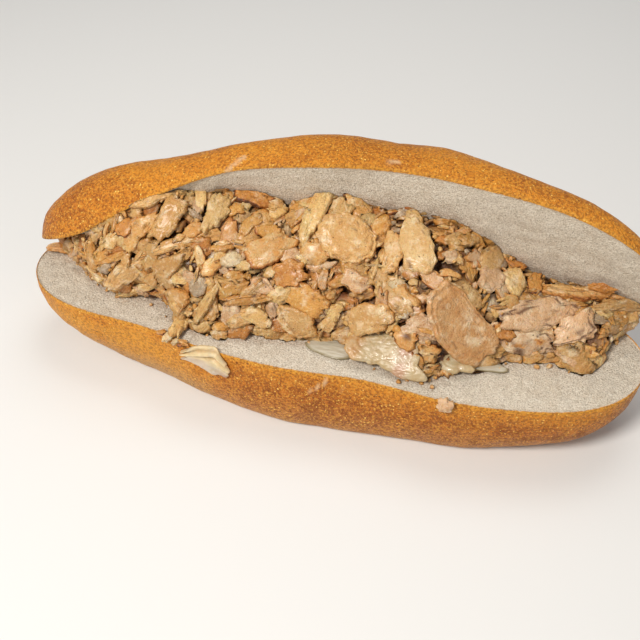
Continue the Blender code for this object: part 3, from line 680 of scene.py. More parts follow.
strands = {
    "ridge": (-67.5, 0.62, 20.8, 6.1, 18, (9, 8, 9, 11, 10, 13, 8, 8), "tan", 1.2),
    "goldBar": (-46.1, 0.61, 11.3, 5, 11, (10, 8, 9, 8, 9, 11, 10, 11), "gold", 1.2),
    "thinStrip": (-49.9, 0.21, 27.3, 5.1, 62, (9, 8, 9, 7, 9, 10, 10, 12), "cream", 3),
    "foldBand": (-30.9, 0.26, 27.3, 6.3, 7, (9, 8, 10, 10, 7, 10, 6, 6), "gold", 3),
    "paleStrand": (-88.5, 0.12, 32.9, 5.1, 29, (8, 6, 8, 8, 9, 12, 9, 11), "cream", 2),
    "goldStrand": (-11.2, 0.98, 21.2, 7.7, 27, (8, 10, 9, 10, 8, 8, 9, 8), "gold", 1.8),
    "paleChip": (25.5, 0.58, 11.1, 3.4, 84, (8, 6, 8, 10, 10, 13, 8, 8), "cream", 1.2),
    "goldRibbon": (117.7, 0.86, 32.3, 9.5, 10, (9, 7, 4, 11, 10, 9, 8, 6), "tan", 3, 0.6, -90),
    "lightRibbon": (138.4, 0.82, 32.9, 6.7, 9, (10, 9, 10, 9, 10, 9, 6, 10), "tan", 3),
    "backRibbon": (139.9, 0.62, 29.3, 6.7, 10, (9, 7, 9, 8, 6, 10, 2, 8), "tan", 1.2),
    "leftStrand": (-111.7, 0.61, 20.3, 7.2, 64, (9, 9, 10, 11, 10, 10, 9, 9), "gold", 1.2),
    "archStrand": (-122.6, 0.83, 10.1, 3.7, 50, (7, 6, 9, 8, 10, 12, 5, 8), "cream", 1.2),
}
lumps = {
    "tanKnob": (-17.2, 0.88, 11.5, 8.9, 65, (10, 9, 9, 8, 8, 9, 10, 11), "sandy", 1.2),
    "goldCurl": (-50.1, 0.45, 14.2, 5.6, 27, (9, 11, 6, 8, 8, 9, 9, 9), "gold", 1.2, 0.8, 0),
    "brownChip": (-38.9, 0.42, 9.9, 7, 13, (9, 9, 8, 8, 9, 10, 9, 10), "gold", 1.2, 0.6, None),
    "pinkBack": (-19.4, 0.18, 10, 6.5, -83, (9, 8, 10, 13, 10, 12, 7, 6), "rosy", 1.2),
    "goldFoot": (-42.7, 0.05, 9.1, 6.4, 5, (9, 8, 8, 7, 10, 10, 9, 10), "gold", 1.2),
    "brownBall": (23.7, 0.87, 12.4, 10.3, 74, (10, 10, 9, 9, 9, 9, 9, 10), "gold", 1.2, 0.5, 0),
    "tanLumps": (14, 0.94, 12.9, 10, -51, (9, 8, 10, 10, 9, 12, 10, 9), "sandy", 1.2),
    "creamStub": (39.5, 0.95, 15.5, 7.5, -40, (8, 7, 8, 12, 10, 9, 8, 4), "cream", 1.2),
    "tanSide": (60.3, 0.78, 10.7, 5.9, -21, (10, 12, 10, 9, 7, 6, 9, 9), "tan", 1.2),
    "topKnob": (68.4, 1.04, 13, 9.6, -88, (10, 11, 10, 10, 8, 7, 9, 8), "sandy", 1.2, 0.5, 0),
    "orangeBit": (-108.9, 0.27, 11.2, 6.2, 9, (9, 7, 9, 9, 10, 12, 9, 10), "gold", 1.2, 0.5, None),
    "orangeWeb": (-99.8, 0.58, 22.2, 4.3, 4, (9, 9, 7, 6, 9, 9, 7, 12), "gold", 1.2, 0.6, None),
    "paleNub": (-99.6, 0.77, 13.1, 9, 6, (9, 9, 8, 7, 9, 9, 8, 10), "cream", 1.2),
}
onionBits = {
    "greyBit": (-61.6, 0.84, 10, 3.7, -39, (9, 9, 8, 7, 9, 6, 9, 7), "grey", 1.2),
    "greyOnion": (-54.4, 0.33, 12.1, 10.2, 81, (9, 10, 8, 8, 9, 8, 8, 10), "grey", 1.2),
    "greyLump": (43, 0.34, 8.7, 4.3, 40, (8, 9, 9, 8, 7, 6, 9, 6), "grey", 1.2),
    "greyArch": (-104.0, 0.44, 12, 6, 18, (9, 11, 8, 9, 6, 5, 9, 6), "grey", 1.2),
}
cheeseBits = {
    "creamBit": (-40.5, 0.53, 12.4, 7.9, 12, (9, 8, 9, 7, 9, 10, 9, 9), "cheesy", 1.5),
    "yellowBit": (37.5, 0.51, 9.9, 6, 2, (10, 8, 9, 7, 9, 9, 9, 11), "cheesy", 1.2),
}
# The same for slabs that have slid down on to the lower cut face, placed by X and Y.
fallen = {
    "leftRim": (-138.5, 12.5, 21, 9, 12, (10, 9, 10, 9, 11, 9, 10, 9), "baked", 1.4, 0.35, 0),
    "orangeSlab": (58.8, -16.41, 23.7, 10.7, -49, (10, 9, 10, 10, 10, 11, 9, 10), "gold", 1.2, 0.6, 90),
}


def atHeap(x, what):
    return glide(round(x, 3), heap["x"], heap[what])


def heapPoint(x, climb, sink=0.0):
    # the heap's face, climbing from its foot on the lower half to its top on the upper half
    a = math.radians(along(x, "angle"))
    reach = atHeap(x, "reach")
    foot = Vector((x, atHeap(x, "footY"), opened["cutZ"] + 1))
    top = Vector((x, opened["hingeY"] - reach * math.cos(a), opened["cutZ"] + reach * math.sin(a)))
    rise = top - foot
    outward = Vector((0, -rise.z, rise.y)).normalized()
    crown = atHeap(x, "crown") * 4 * climb * (1 - climb)
    return foot + rise * climb + outward * (crown - sink)


def offTheBread(point, extra=0.0):
    # keeps the filling out of the bread, but for the little that it is pressed in
    a = math.radians(along(round(point.x, 1), "angle"))
    inward = Vector((0, -math.sin(a), -math.cos(a)))
    hinge = Vector((point.x, opened["hingeY"], opened["cutZ"]))
    short = extra - heap["pressedIn"] - (point - hinge).dot(inward)
    moved = point + inward * max(short, 0.0)
    moved.z = max(moved.z, opened["cutZ"] - heap["pressedIn"] + extra)
    return moved


def onHeap(x, climb):
    # a place on the heap's face with its axes: along, up the climb, and outward
    here = heapPoint(x, climb)
    level = (heapPoint(x + 2, climb) - heapPoint(x - 2, climb)).normalized()
    up = (heapPoint(x, climb + 0.04) - heapPoint(x, climb - 0.04)).normalized()
    out = level.cross(up).normalized()
    return here, level, out.cross(level), out


def onCut(x, y, lift=2.5):
    return Vector((x, y, opened["cutZ"] + lift)), Vector((1, 0, 0)), Vector((0, 1, 0)), Vector((0, 0, 1))


def rimReach(rim, angle):
    # the outline's reach in a direction, eased between values given in tenths
    count = len(rim)
    step = angle / (2 * math.pi) % 1 * count
    k = int(step) % count
    t = (1 - math.cos((step - int(step)) * math.pi)) / 2
    return (rim[k] * (1 - t) + rim[(k + 1) % count] * t) / 10


def fillingLayers(shape):
    layers = {"tone": "float_color", "browned": "float", "paintedShade": "float", "grain": "float_vector",
              "streaked": "float"}
    return {name: getattr(shape.verts.layers, kind).new(name) for name, kind in layers.items()}


def fillingShape():
    shape = bmesh.new()
    return shape, fillingLayers(shape)


def setLayers(vertex, layers, tone, browned, paintedShade, place, streaked=0.0):
    values = {"tone": tone, "browned": browned, "paintedShade": paintedShade, "grain": place, "streaked": streaked}
    for name, value in values.items():
        vertex[layers[name]] = value


def tornOutline(traits, seed, dice):
    # how far the outline reaches all round: eight given values, straight breaks and a ragged rim
    rim = traits["rim"] or [dice.uniform(7.8, 11.6) for _ in range(8)]
    nearest = 1 - traits["breakDepth"]
    breaks = [(dice.uniform(0, 2 * math.pi), dice.uniform(nearest, 1.02)) for _ in range(traits["breaks"])]
    outline, count = [], 120
    rimNoise = ((1.9, 1.0), (4, 0.8), (11, 0.3))
    for k in range(count):
        angle = 2 * math.pi * k / count
        reach = rimReach(rim, angle)
        for toward, away in breaks:
            facing = math.cos(angle - toward)
            if facing > 0.1:
                reach = min(reach, away / facing)
        ring = Vector((math.cos(angle), math.sin(angle), 0))
        ragged = sum(share * noise.noise(ring * often + seed) for often, share in rimNoise)
        outline.append(reach * (1 + traits["ragged"] * ragged))
    return outline


def reachOf(outline, angle):
    step = angle / (2 * math.pi) % 1 * len(outline)
    k = int(step)
    return outline[k % len(outline)] * (k + 1 - step) + outline[(k + 1) % len(outline)] * (step - k)


def tornRelief(local, traits):
    # the height of clumps and fibres, how deep in a crease and a split a place is, and its clump
    size, cracked = traits["clumpSize"], traits["cracked"]
    near, clumps = noise.voronoi(Vector((local.x / size * 0.7, local.y / size, local.z / size)))
    crease = 1 - min((near[1] - near[0]) / (0.09 if cracked else 0.16), 1.0)
    crease *= 1.0 if cracked else smooth(noise.noise(local / 5.0), -0.05, 0.25)
    split = noise.noise(Vector((local.x / 9, local.y / 2.2, local.z / 2.2)))
    split = max(0.0, 1 - abs(split) * 7) * smooth(noise.noise(local / 6.0), -0.2, 0.15)
    fibres = 0.5 * noise.noise(Vector((local.x / 6, local.y / 1.2, local.z / 1.2))) - split
    rise = traits["clump"] * (0.75 * noise.noise(local / 3.2) - 0.5 * crease) + traits["fibre"] * fibres
    return rise + torn["fineRelief"] * noise.noise(local / 1.2), crease, split, clumps[0]


def addPiece(shape, layers, place, row, dice):
    # one torn piece: its outline, clumps, fibres, curl and lean, laid in the place it is given
    traits = {**usualTraits, **kinds[row["kind"]], **row}
    length, width, thick = (traits[name] / 2 for name in ("length", "width", "thick"))
    here, level, up, out = place
    turned = math.radians(traits["turn"])
    longAxis = level * math.cos(turned) + up * math.sin(turned)
    wideAxis = out.cross(longAxis)
    lean = traits["lean"]
    rolled = Matrix.Rotation(math.radians(dice.uniform(-lean, lean)), 3, longAxis)
    pitched = Matrix.Rotation(math.radians(dice.uniform(-lean, lean) * 0.7), 3, wideAxis)
    axes = [pitched @ rolled @ axis for axis in (longAxis, wideAxis, out)]
    middle = here + out * (traits["top"] - thick)
    curl = dice.uniform(*torn["curl"]) * length * traits["curled"]
    twist = dice.uniform(-torn["twist"], torn["twist"])
    seed = Vector([dice.uniform(-90, 90) for _ in range(3)])
    tint = dice.uniform(*torn["tint"])
    tone = Vector(opaque(tones[traits["tone"]]))
    outline = tornOutline(traits, seed, dice)
    side = dice.uniform(0, 2 * math.pi) if traits["side"] is None else math.radians(traits["side"])
    for vertex, v, flat, angle in ballPoints(shape, traits["detail"]):
        reach = flat ** traits["plan"] * reachOf(outline, angle)
        a, b = v.x / flat * reach * length, v.y / flat * reach * width
        c = power(v.z, traits["domed"]) * thick
        grainPlace = Vector((a, b, c)) + seed
        rise, crease, split, clump = tornRelief(grainPlace, traits)
        if traits["rings"]:
            ringed = math.sin(flat * traits["rings"]) * smooth(math.cos(angle - side), -0.1, 0.6)
            rise += torn["ringRelief"] * ringed * smooth(flat, 0.3, 0.6)
        skin = Vector((a / length**2, b / width**2, c / thick**2 + 1e-9)).normalized()
        local = Vector((a, b, c)) + skin * rise
        local.z += -curl * ((a / length) ** 2 - 0.35) + twist * a * b / length
        placed = middle + axes[0] * local.x + axes[1] * local.y + axes[2] * local.z
        vertex.co = offTheBread(placed)

        patch = 0.6 + 0.9 * noise.noise(grainPlace / 5.0)
        rimmed = smooth(flat, 0.55, 1.0) * (0.35 + 0.65 * (0.5 + 0.5 * math.cos(angle - side)))
        burnt = traits["brown"] * (0.5 * patch + 1.1 * rimmed)
        for spotA, spotB, spotReach in traits["spots"]:
            burnt += 1.3 * smooth(math.hypot(a - spotA, b - spotB), spotReach, 0.3)
        # painted shade: darker in creases and splits, and deeper the further behind the heap's face
        paintedShade = (0.95 if traits["cracked"] else 0.6) * crease + traits["fibre"] * split
        paintedShade += smooth((here - placed).dot(out), *torn["shadeDepth"])
        shade = tint + torn["clumpTint"] * noise.noise(clump * 5.7)
        setLayers(vertex, layers, tone * shade, min(max(burnt, 0.0), 1.3), min(paintedShade, 1.0), grainPlace,
                  traits["streaked"])


def shards(point, size):
    # packed torn bits: each stands at its own height and slant, with creases between them
    scaled = Vector((point.x / size * 0.75, point.y / size, point.z / size))
    near, spots = noise.voronoi(scaled)
    slant = noise.noise_vector(spots[0] * 7.3)
    ahead = scaled - spots[0]
    rise = 1.6 * slant.z + 1.8 * (slant.x * ahead.x + slant.y * ahead.y)
    return rise, 1 - min((near[1] - near[0]) / 0.28, 1.0), spots[0]


def buildCore():
    core = heap["core"]
    noise.seed_set(heap["seed"])  # without this, noise_vector differs from run to run
    shape = lyingBall(core["rings"], core["segments"])
    layers = fillingLayers(shape)
    low, high = heap["x"][0], heap["x"][-1]
    middle, reach = (low + high) / 2, (high - low) / 2
    mixed = [Vector(opaque(tones[name])) for name in core["tones"]]
    (large, largeSize), (small, smallSize) = core["lumps"]
    for vertex in shape.verts:
        x = middle + reach * 0.985 * vertex.co.x
        angle = around(vertex)
        full = rounding(vertex.co.x, 5.0)
        centre = (heapPoint(x, 0.5) + Vector((x, opened["hingeY"], opened["cutZ"]))) / 2
        # painted shade: the core's hidden back is shaded dark
        paintedShade, tone = 0.8, mixed[0]
        if angle <= math.pi:
            point = heapPoint(x, 0.04 + 0.92 * angle / math.pi, core["sink"])
            rise, crease, spot = shards(point, largeSize)
            finer, crack, _ = shards(point + Vector((40, 0, 0)), smallSize)
            moved = large * (rise - 1.1 * crease) + small * (finer - crack) + 0.5 * noise.noise(point / 1.5)
            # painted shade in the core's low places and creases
            paintedShade = min(0.25 + 0.75 * smooth(moved, 1.6, -2.4) + 0.4 * crease, 1.0)
            tone = mixed[int(abs(noise.noise(spot * 7.3)) * 9973) % len(mixed)]
            point += Vector((0, -0.62, 0.78)) * moved
        else:
            back = 2 - angle / math.pi
            corner = Vector((x, opened["hingeY"] - 2, opened["cutZ"]))
            point = corner.lerp(heapPoint(x, 0.96 if back > 0.5 else 0.04, core["sink"]), abs(2 * back - 1))
        setLayers(vertex, layers, tone * core["shade"], 0.0, paintedShade, point, core["streaked"])
        vertex.co = offTheBread(centre.lerp(point, full))
    return shape


def tracedRow(name, kind, row):
    _, _, length, width, turn, rim, tone, top, *browning = row
    brown, side = browning or (usualBrowning.get(tone, 0.0), None)
    thick = kinds[kind]["thick"] + max(top, 0) * 0.4
    if kind == "strand":
        thick = min(thick, width * 0.8)
    grown = heap["overlap"]
    return {"kind": kind, "length": length * grown, "width": width * grown, "thick": thick, "turn": turn,
            "rim": rim, "tone": tone, "brown": brown, "side": side, "top": top, "breaks": 4,
            "breakDepth": 0.2, "detail": 4 if length * width < largeSlab else 5, **extras.get(name, {})}


def slabTurn(row):
    turned = Matrix.Rotation(math.radians(row["turn"]), 3, "Z")
    return turned @ Matrix.Rotation(math.radians(row["pitch"]), 3, "X")


def coveredAreas():
    # where the large slabs lie, so that nothing else is laid on them
    areas = []
    for x, climb, length, width, turn, _, _, top, *_ in slabs.values():
        if length * width > largeSlab and top > 1.5:
            here, level, up, _ = onHeap(x, climb)
            turned = math.radians(turn)
            longAxis = level * math.cos(turned) + up * math.sin(turned)
            wideAxis = up * math.cos(turned) - level * math.sin(turned)
            areas.append((here, longAxis * 2 / length, wideAxis * 2 / width))
    for row in (separate["cheeseSlab"], separate["cheeseTip"]):
        turned, (length, width, _) = slabTurn(row), row["size"]
        areas.append((Vector(row["at"]), turned.col[0] * 2 / length, turned.col[1] * 2 / width))
    return areas


def isCovered(spot, areas):
    return any(math.hypot((spot - here).dot(a), (spot - here).dot(b)) < 0.95 for here, a, b in areas)


def scatteredPlaces(dice, setting, areas):
    # seeded places over the heap's face that keep a share of their size apart
    low, high = heap["x"][0] + 3, heap["x"][-1] - 3
    taken = []
    for _ in range(setting["tries"]):
        x = dice.uniform(low, high)
        place = onHeap(x, dice.uniform(*heap["scatter"]["climb"]))
        length = dice.uniform(*setting["length"])
        width = length * dice.uniform(*heap["scatter"]["slim"])
        room = (length + width) / 4
        if isCovered(place[0], areas):
            continue
        if all((place[0] - spot).length > (reach + room) * setting["room"] for spot, reach in taken):
            taken.append((place[0], room))
            yield place, length, width


def buildHeap(material):
    finishPiece("chickenCore", buildCore(), material, "chicken", "chicken")

    dice = random.Random(heap["seed"])
    for kind, label, rows in (("slab", "chickenSlabs", slabs), ("strand", "chickenStrands", strands),
                              ("chunk", "chickenLumps", lumps), ("onion", "onionInHeap", onionBits),
                              ("cheese", "cheeseInHeap", cheeseBits)):
        shape, layers = fillingShape()
        for name, row in rows.items():
            addPiece(shape, layers, onHeap(*row[:2]), tracedRow(name, kind, row), dice)
        if kind == "slab":
            for name, row in fallen.items():
                addPiece(shape, layers, onCut(*row[:2]), tracedRow(name, kind, row), dice)
        finishPiece(label, shape, material, "chicken")

    areas = coveredAreas()
    for label, setting in (("chickenChunks", heap["chunks"]), ("chickenBits", heap["bits"])):
        shape, layers = fillingShape()
        names, weights = list(setting["tones"]), list(setting["tones"].values())
        for place, length, width in scatteredPlaces(dice, setting, areas):
            tone = dice.choices(names, weights)[0]
            row = {"kind": "flake", "length": length, "width": width,
                   "turn": dice.gauss(*heap["scatter"]["turn"]), "lean": setting["lean"],
                   "thick": width * dice.uniform(*setting["thick"]), "breaks": 4, "tone": tone,
                   "brown": dice.choice(heap["browning"]), "curled": 2.0,
                   "top": dice.uniform(*setting["top"]), "detail": setting["detail"]}
            addPiece(shape, layers, place, row, dice)
        finishPiece(label, shape, material, "chicken")

    shape, layers = fillingShape()
    shreds, low, high = heap["shreds"], heap["x"][0] + 8, heap["x"][-1]
    for _ in range(shreds["count"]):
        place = onHeap(dice.uniform(low, high - 12), dice.uniform(0.02, 1.02))
        width = dice.uniform(*shreds["width"])
        row = {"kind": "strand", "length": dice.uniform(*shreds["length"]), "width": width, "lean": 16,
               "turn": dice.gauss(*shreds["turn"]), "thick": width * 0.7,
               "tone": dice.choice(shreds["tones"]), "brown": dice.choice(shreds["browning"]),
               "top": dice.uniform(*shreds["top"]), "detail": 3, "curled": 2.5}
        if not isCovered(place[0], areas):
            addPiece(shape, layers, place, row, dice)
    finishPiece("chickenShreds", shape, material, "chicken")

    shape, layers = fillingShape()
    crumbs = heap["crumbs"]
    for k in range(crumbs["count"]):
        size = dice.uniform(*crumbs["size"])
        x = dice.uniform(low, high - 8)
        if k % crumbs["onCut"] == 0:
            place, top = onCut(x, atHeap(x, "footY") - abs(dice.gauss(1.0, 3.5)), 0.0), size * 0.45
        else:
            place, top = onHeap(x, dice.uniform(0.0, 1.04)), dice.uniform(*crumbs["top"])
        row = {"kind": "chunk", "length": size * 1.3, "width": size, "lean": 40, "turn": dice.uniform(0, 180),
               "thick": size * 0.8, "tone": dice.choice(crumbs["tones"]), "brown": 0.3, "top": top,
               "detail": 2}
        addPiece(shape, layers, place, row, dice)
    finishPiece("chickenCrumbs", shape, material, "chicken")
    print("heap built")


def chickenMaterial():
    material, tree, surface = newMaterial("choppedChicken", Specular_IOR_Level=0.5, Coat_Weight=0.3,
                                          Coat_Roughness=0.22, Subsurface_Weight=0.22,
                                          Subsurface_Radius=(1.0, 0.55, 0.25), Subsurface_Scale=0.0016)
    place = attribute(tree, "grain", "Vector")
    shifted = changePlace(tree, "ADD", place, elsewhere)
    stretched = changePlace(tree, "MULTIPLY", place, (0.16, 1.0, 1.0))
    fibrous = attribute(tree, "streaked")
    creamy = mottled(tree, shifted, 7.0, 3.0, 0.5, 0.7)
    patchy = mottled(tree, place, 1.8, 5.0, 0.25, 0.75)
    browned = calc(tree, "ADD", attribute(tree, "browned"), calc(tree, "MULTIPLY_ADD", patchy, 0.5, -0.25))
    shown = layered(tree, attribute(tree, "tone", "Color"), chickenFinish, (
        (mottled(tree, place, 6.5, 3.0, 0.36, 0.64), 0.6, "golden"),
        (creamy, 0.55, "pale"),
        (mottled(tree, stretched, 1.5, 3.0, 0.42, 0.7), calc(tree, "MULTIPLY", fibrous, 0.6), "streak"),
        (mottled(tree, place, 1.4, 3.0, 0.5, 0.7), 0.45, "pit"),
        (mottled(tree, shifted, 1.7, 3.0, 0.54, 0.72), 0.35, "pale"),
        (ramp(tree, browned, 0.1, 0.55), 0.85, "toasted"),
        (ramp(tree, browned, 0.55, 1.0), 0.85, "brown"),
        (ramp(tree, browned, 0.95, 1.3), 0.85, "char"),
        (speckled(tree, place, 2.4, 0.3, 0.25), 0.75, "speck"),
        # painted shade in creases, splits and deep places between the pieces
        (ramp(tree, attribute(tree, "paintedShade"), 0.13, 0.95), 0.95, "paintedGapShade")))
    fibres = calc(tree, "MULTIPLY", grained(tree, stretched, 1.2), fibrous)
    height = calc(tree, "MULTIPLY_ADD", fibres, 1.3, calc(tree, "MULTIPLY", grained(tree, place, 0.8), 0.7))
    height = calc(tree, "MULTIPLY_ADD", grained(tree, place, 2.6), 0.7, height)
    dress(tree, surface, shown, height, 0.0008, 1.0, ramp(tree, creamy, 0.0, 1.0, 0.48, 0.3))
    return material


separate = {
    # what lies in front of the heap: mostly its place, size, turn, pitch and outline, and its CAD node
    "cheeseSlab": {"at": (36.0, -23.4, 46.8), "size": (33, 20, 3.6), "turn": -12, "pitch": 32,
                   "rim": (10, 10.5, 12, 11, 10, 10, 11, 12.5, 11, 11, 11, 8, 6.5, 8, 12, 15), "patchy": True,
                   "node": "cheese_slab"},
    "cheeseTip": {"at": (68.5, -20.0, 43.6), "size": (16.5, 10.4, 3.0), "turn": -8, "pitch": 22,
                  "rim": (12, 8, 8, 10, 9, 10, 9, 7), "patchy": False, "node": "cheese_tip"},
    # stations along X with the run of its upper and lower edge down the crust
    "cheeseFold": {"x": (-61, -54, -47, -41, -34), "upper": (5.0, 0.5, -1.8, -2.4, 2.5),
                   "lower": (10.5, 9.5, 11.0, 14.0, 16.0), "thick": 2.0, "ridges": (0.85, 2.0)},
    "onionFront": {"at": (11, -21.5), "size": (23.4, 11.4, 1.5), "node": "onion_front"},
    "onionRight": {"at": (84, -14.5), "size": (17.4, 7.4, 1.5), "node": "onion_right"},
    "crumb": {"x": 68, "run": 1.5, "size": (7.2, 5.2, 3.0)},
    "scrap": {"x": 129, "forward": 26, "size": (12.0, 6.8, 2.8)},
    "strand": {"at": (-62.6, -24.0), "length": 21, "width": 8.4, "turn": 88, "thick": 4.2,
               # small bits beside it: X, Y, length, width, turn, tone, browning
               "beside": ((-66.5, -34.5, 7, 4.5, 70, "cheesy", 0.0), (-70.5, -31.5, 5, 3.5, 20, "gold", 0.7),
                          (-58.5, -35.0, 8, 3.2, -12, "gold", 0.5), (-62.0, -35.5, 4, 3, 40, "cheesy", 0.0),
                          (-59.0, -37.2, 3.0, 1.8, 10, "amber", 4.0))},
}
cheeseFinish = {
    "butter": colour(191, 166, 123),
    "cream": colour(226, 202, 156),
    "gold": colour(192, 146, 90),
    "rosy": colour(186, 140, 112),
    "dull": colour(206, 188, 166),
    "bright": colour(200, 184, 150),
    "fold": (0.72, 0.56, 0.40),  # what the tone is multiplied by: painted shade in folds, creases and along rims, and soft blotches
}
onionFinish = {"pale": colour(196, 186, 164), "shade": colour(166, 154, 128), "rim": colour(140, 126, 92)}


@lru_cache(maxsize=None)
def frontPath(x):
    return [lowerPoint(x, math.pi / 2 * k / 60) for k in range(61)]


def frontEdge(x, run):
    # a place on the lower half: behind the front of the cut, or on down the crust
    path = frontPath(round(x, 1))
    if run <= 0:
        return path[0] + Vector((0, -run, 0))
    for start, end in zip(path, path[1:]):
        step = (end - start).length
        if run <= step:
            return start.lerp(end, run / step)
        run -= step
    return path[-1]


def overEdge(x, run, height):
    # the same, a height out from the bread, rounding its corner softly
    fall = frontEdge(x, run + 2.5) - frontEdge(x, run - 2.5)
    out = Vector((0, fall.z, -fall.y)).normalized()
    return frontEdge(x, run) + out * height


def buildFold(material):
    fold = separate["cheeseFold"]
    stations, (ridge, spacing) = fold["x"], fold["ridges"]
    low, high = stations[0], stations[-1]
    shape, layers = fillingShape()
    for vertex, v, flat, angle in ballPoints(shape, 6):
        ring = Vector((math.cos(angle), math.sin(angle), 4.0))
        ragged = 0.7 * noise.noise(ring * 1.6) + 0.4 * noise.noise(ring * 4.5) + 0.2 * noise.noise(ring * 11)
        blunt = max(abs(v.x), abs(v.y)) / flat if v.x < 0 else 1.0
        square = power(flat, 0.5) / flat * (1 + 0.2 * ragged) / blunt**0.8
        a, b = v.x * square, v.y * square
        # three fingers at the left end
        forked = 3.4 * smooth(a, -0.5, -0.95) * (0.5 - 0.5 * math.cos(9.0 * b + 0.6))
        x = (low + high) / 2 + a * (high - low) / 2 + forked
        upper, lower = (glide(round(x, 2), stations, fold[edge]) for edge in ("upper", "lower"))
        run = (upper + lower) / 2 - b * (lower - upper) / 2
        rise = fold["thick"] * (0.45 + power(v.z, 0.7) / 2)
        ridged = math.sin((run - upper) * spacing + 0.9 * noise.noise(Vector((x / 6, run / 3, 1.0))))
        folds = ridge * ridged * smooth(b, -0.35, 0.25) + 0.8 * noise.noise(Vector((x / 7, run / 4, 3.0)))
        rise += folds * smooth(v.z, -0.1, 0.5) + 0.25 * noise.noise(Vector((x, run, rise)) / 1.4)
        vertex.co = overEdge(x, run, max(rise, 0.0) + 0.3)
        below = smooth(b, 0.05, -0.5)
        tone = Vector(cheeseFinish["cream"]).lerp(Vector(cheeseFinish["dull"]), below)
        tone = tone.lerp(Vector(cheeseFinish["rosy"]), 0.8 * smooth(a, 0.5, 0.9) * smooth(b, -0.2, -0.6))
        # painted shade in the troughs of the folds and along the rim
        shadow = 0.9 * max(-folds, 0.0) + 0.3 * smooth(flat, 0.8, 1.0)
        setLayers(vertex, layers, opaque(tone), 0.0, shadow, Vector((x, run, rise)))
    finishPiece("cheeseFold", shape, material, "cheese", "cheese_fold")


def buildOnion(name, material):
    row = separate[name]
    length, width, thick = row["size"]
    shape, layers = fillingShape()
    for vertex, v, flat, angle in ballPoints(shape, 5):
        square = power(flat, 0.6) / flat * (1 + 0.1 * math.sin(3 * angle + row["at"][0]))
        square *= 1 + 0.05 * noise.noise(Vector((math.cos(angle) * 4, math.sin(angle) * 4, 2.0)))
        x, y = row["at"][0] + v.x * square * length / 2, row["at"][1] + v.y * square * width / 2
        rise = thick * (0.5 + power(v.z, 0.75) / 2) * (1 + 0.25 * noise.noise(Vector((x / 4, y / 2, 1.0))))
        place = Vector((x, y, rise))
        vertex.co = Vector((x, y, opened["cutZ"] - 0.2 + rise))
        setLayers(vertex, layers, opaque(onionFinish["pale"]), smooth(flat, 0.7, 1.0), 0.0, place)
    finishPiece(name, shape, material, "onion", row["node"])


def buildSlab(name, material, dice):
    row = separate[name]
    length, width, thick = row["size"]
    place = (Vector(row["at"]), *slabTurn(row).col)
    shape, layers = fillingShape()
    piece = {"kind": "cheese", "length": length, "width": width, "thick": thick, "turn": 0, "lean": 0,
             "top": thick / 2, "tone": "cheesy", "rim": row["rim"], "detail": 6 if length > 20 else 5,
             "breaks": 0}
    addPiece(shape, layers, place, piece, dice)
    butter, gold, rosy = (Vector(cheeseFinish[name]) for name in ("butter", "gold", "rosy"))
    for vertex in shape.verts:
        a = (vertex.co - place[0]).dot(place[1]) * 2 / length
        tone = butter
        if row["patchy"]:
            tone = butter.lerp(gold, 0.9 * smooth(a, -0.45, -0.8))
            tone = tone.lerp(rosy, 0.75 * smooth(a, 0.3, 0.5) * smooth(a, 0.95, 0.7))
        vertex[layers["tone"]] = opaque(tone)
    finishPiece(name, shape, material, "cheese", row["node"])


def buildLump(name, material, slot, node, size, place, tone, detail):
    shape, layers = fillingShape()
    length, width, thick = (s / 2 for s in size)
    middle = 0.2 + 0.65 * size[2]
    for vertex, v, _, _ in ballPoints(shape, detail):
        v *= 1 + 0.5 * noise.noise(v * 1.9 + Vector(size)) + 0.16 * noise.noise(v * 6)
        local = Vector((v.x * length, v.y * width, middle + v.z * thick))
        vertex.co = place(*local)
        # painted shade on the lump's underside
        setLayers(vertex, layers, opaque(tone), 0.0, max(-v.z, 0.0) * 0.3, local)
    finishPiece(name, shape, material, slot, node)


def cheeseMaterial():
    material, tree, surface = newMaterial("meltedCheese", Roughness=0.36, Coat_Weight=0.15,
                                          Subsurface_Weight=0.2, Subsurface_Radius=(1.0, 0.7, 0.4),
                                          Subsurface_Scale=0.0016)
    place = attribute(tree, "grain", "Vector")
    shown = layered(tree, attribute(tree, "tone", "Color"), cheeseFinish, (
        (mottled(tree, place, 6.0, 3.0, 0.45, 0.68), 0.6, "bright"),
        (mottled(tree, place, 2.2, 4.0, 0.5, 0.75), 0.22, "fold"),
        # painted shade in folds, creases and along rims
        (attribute(tree, "paintedShade"), 1.0, "fold")))
    dress(tree, surface, shown, grained(tree, place, 1.8), 0.0005, 0.45)
    return material


def onionMaterial():
    material, tree, surface = newMaterial("cookedOnion", Roughness=0.26)
    stretched = changePlace(tree, "MULTIPLY", attribute(tree, "grain", "Vector"), (0.15, 1.0, 1.0))
    shown = layered(tree, opaque(onionFinish["pale"]), onionFinish, (
        (mottled(tree, stretched, 1.1, 3.0, 0.35, 0.7), 0.6, "shade"),
        (attribute(tree, "browned"), 1.0, "rim")))
    dress(tree, surface, shown, grained(tree, stretched, 1.4), 0.0003, 0.6)
    return material


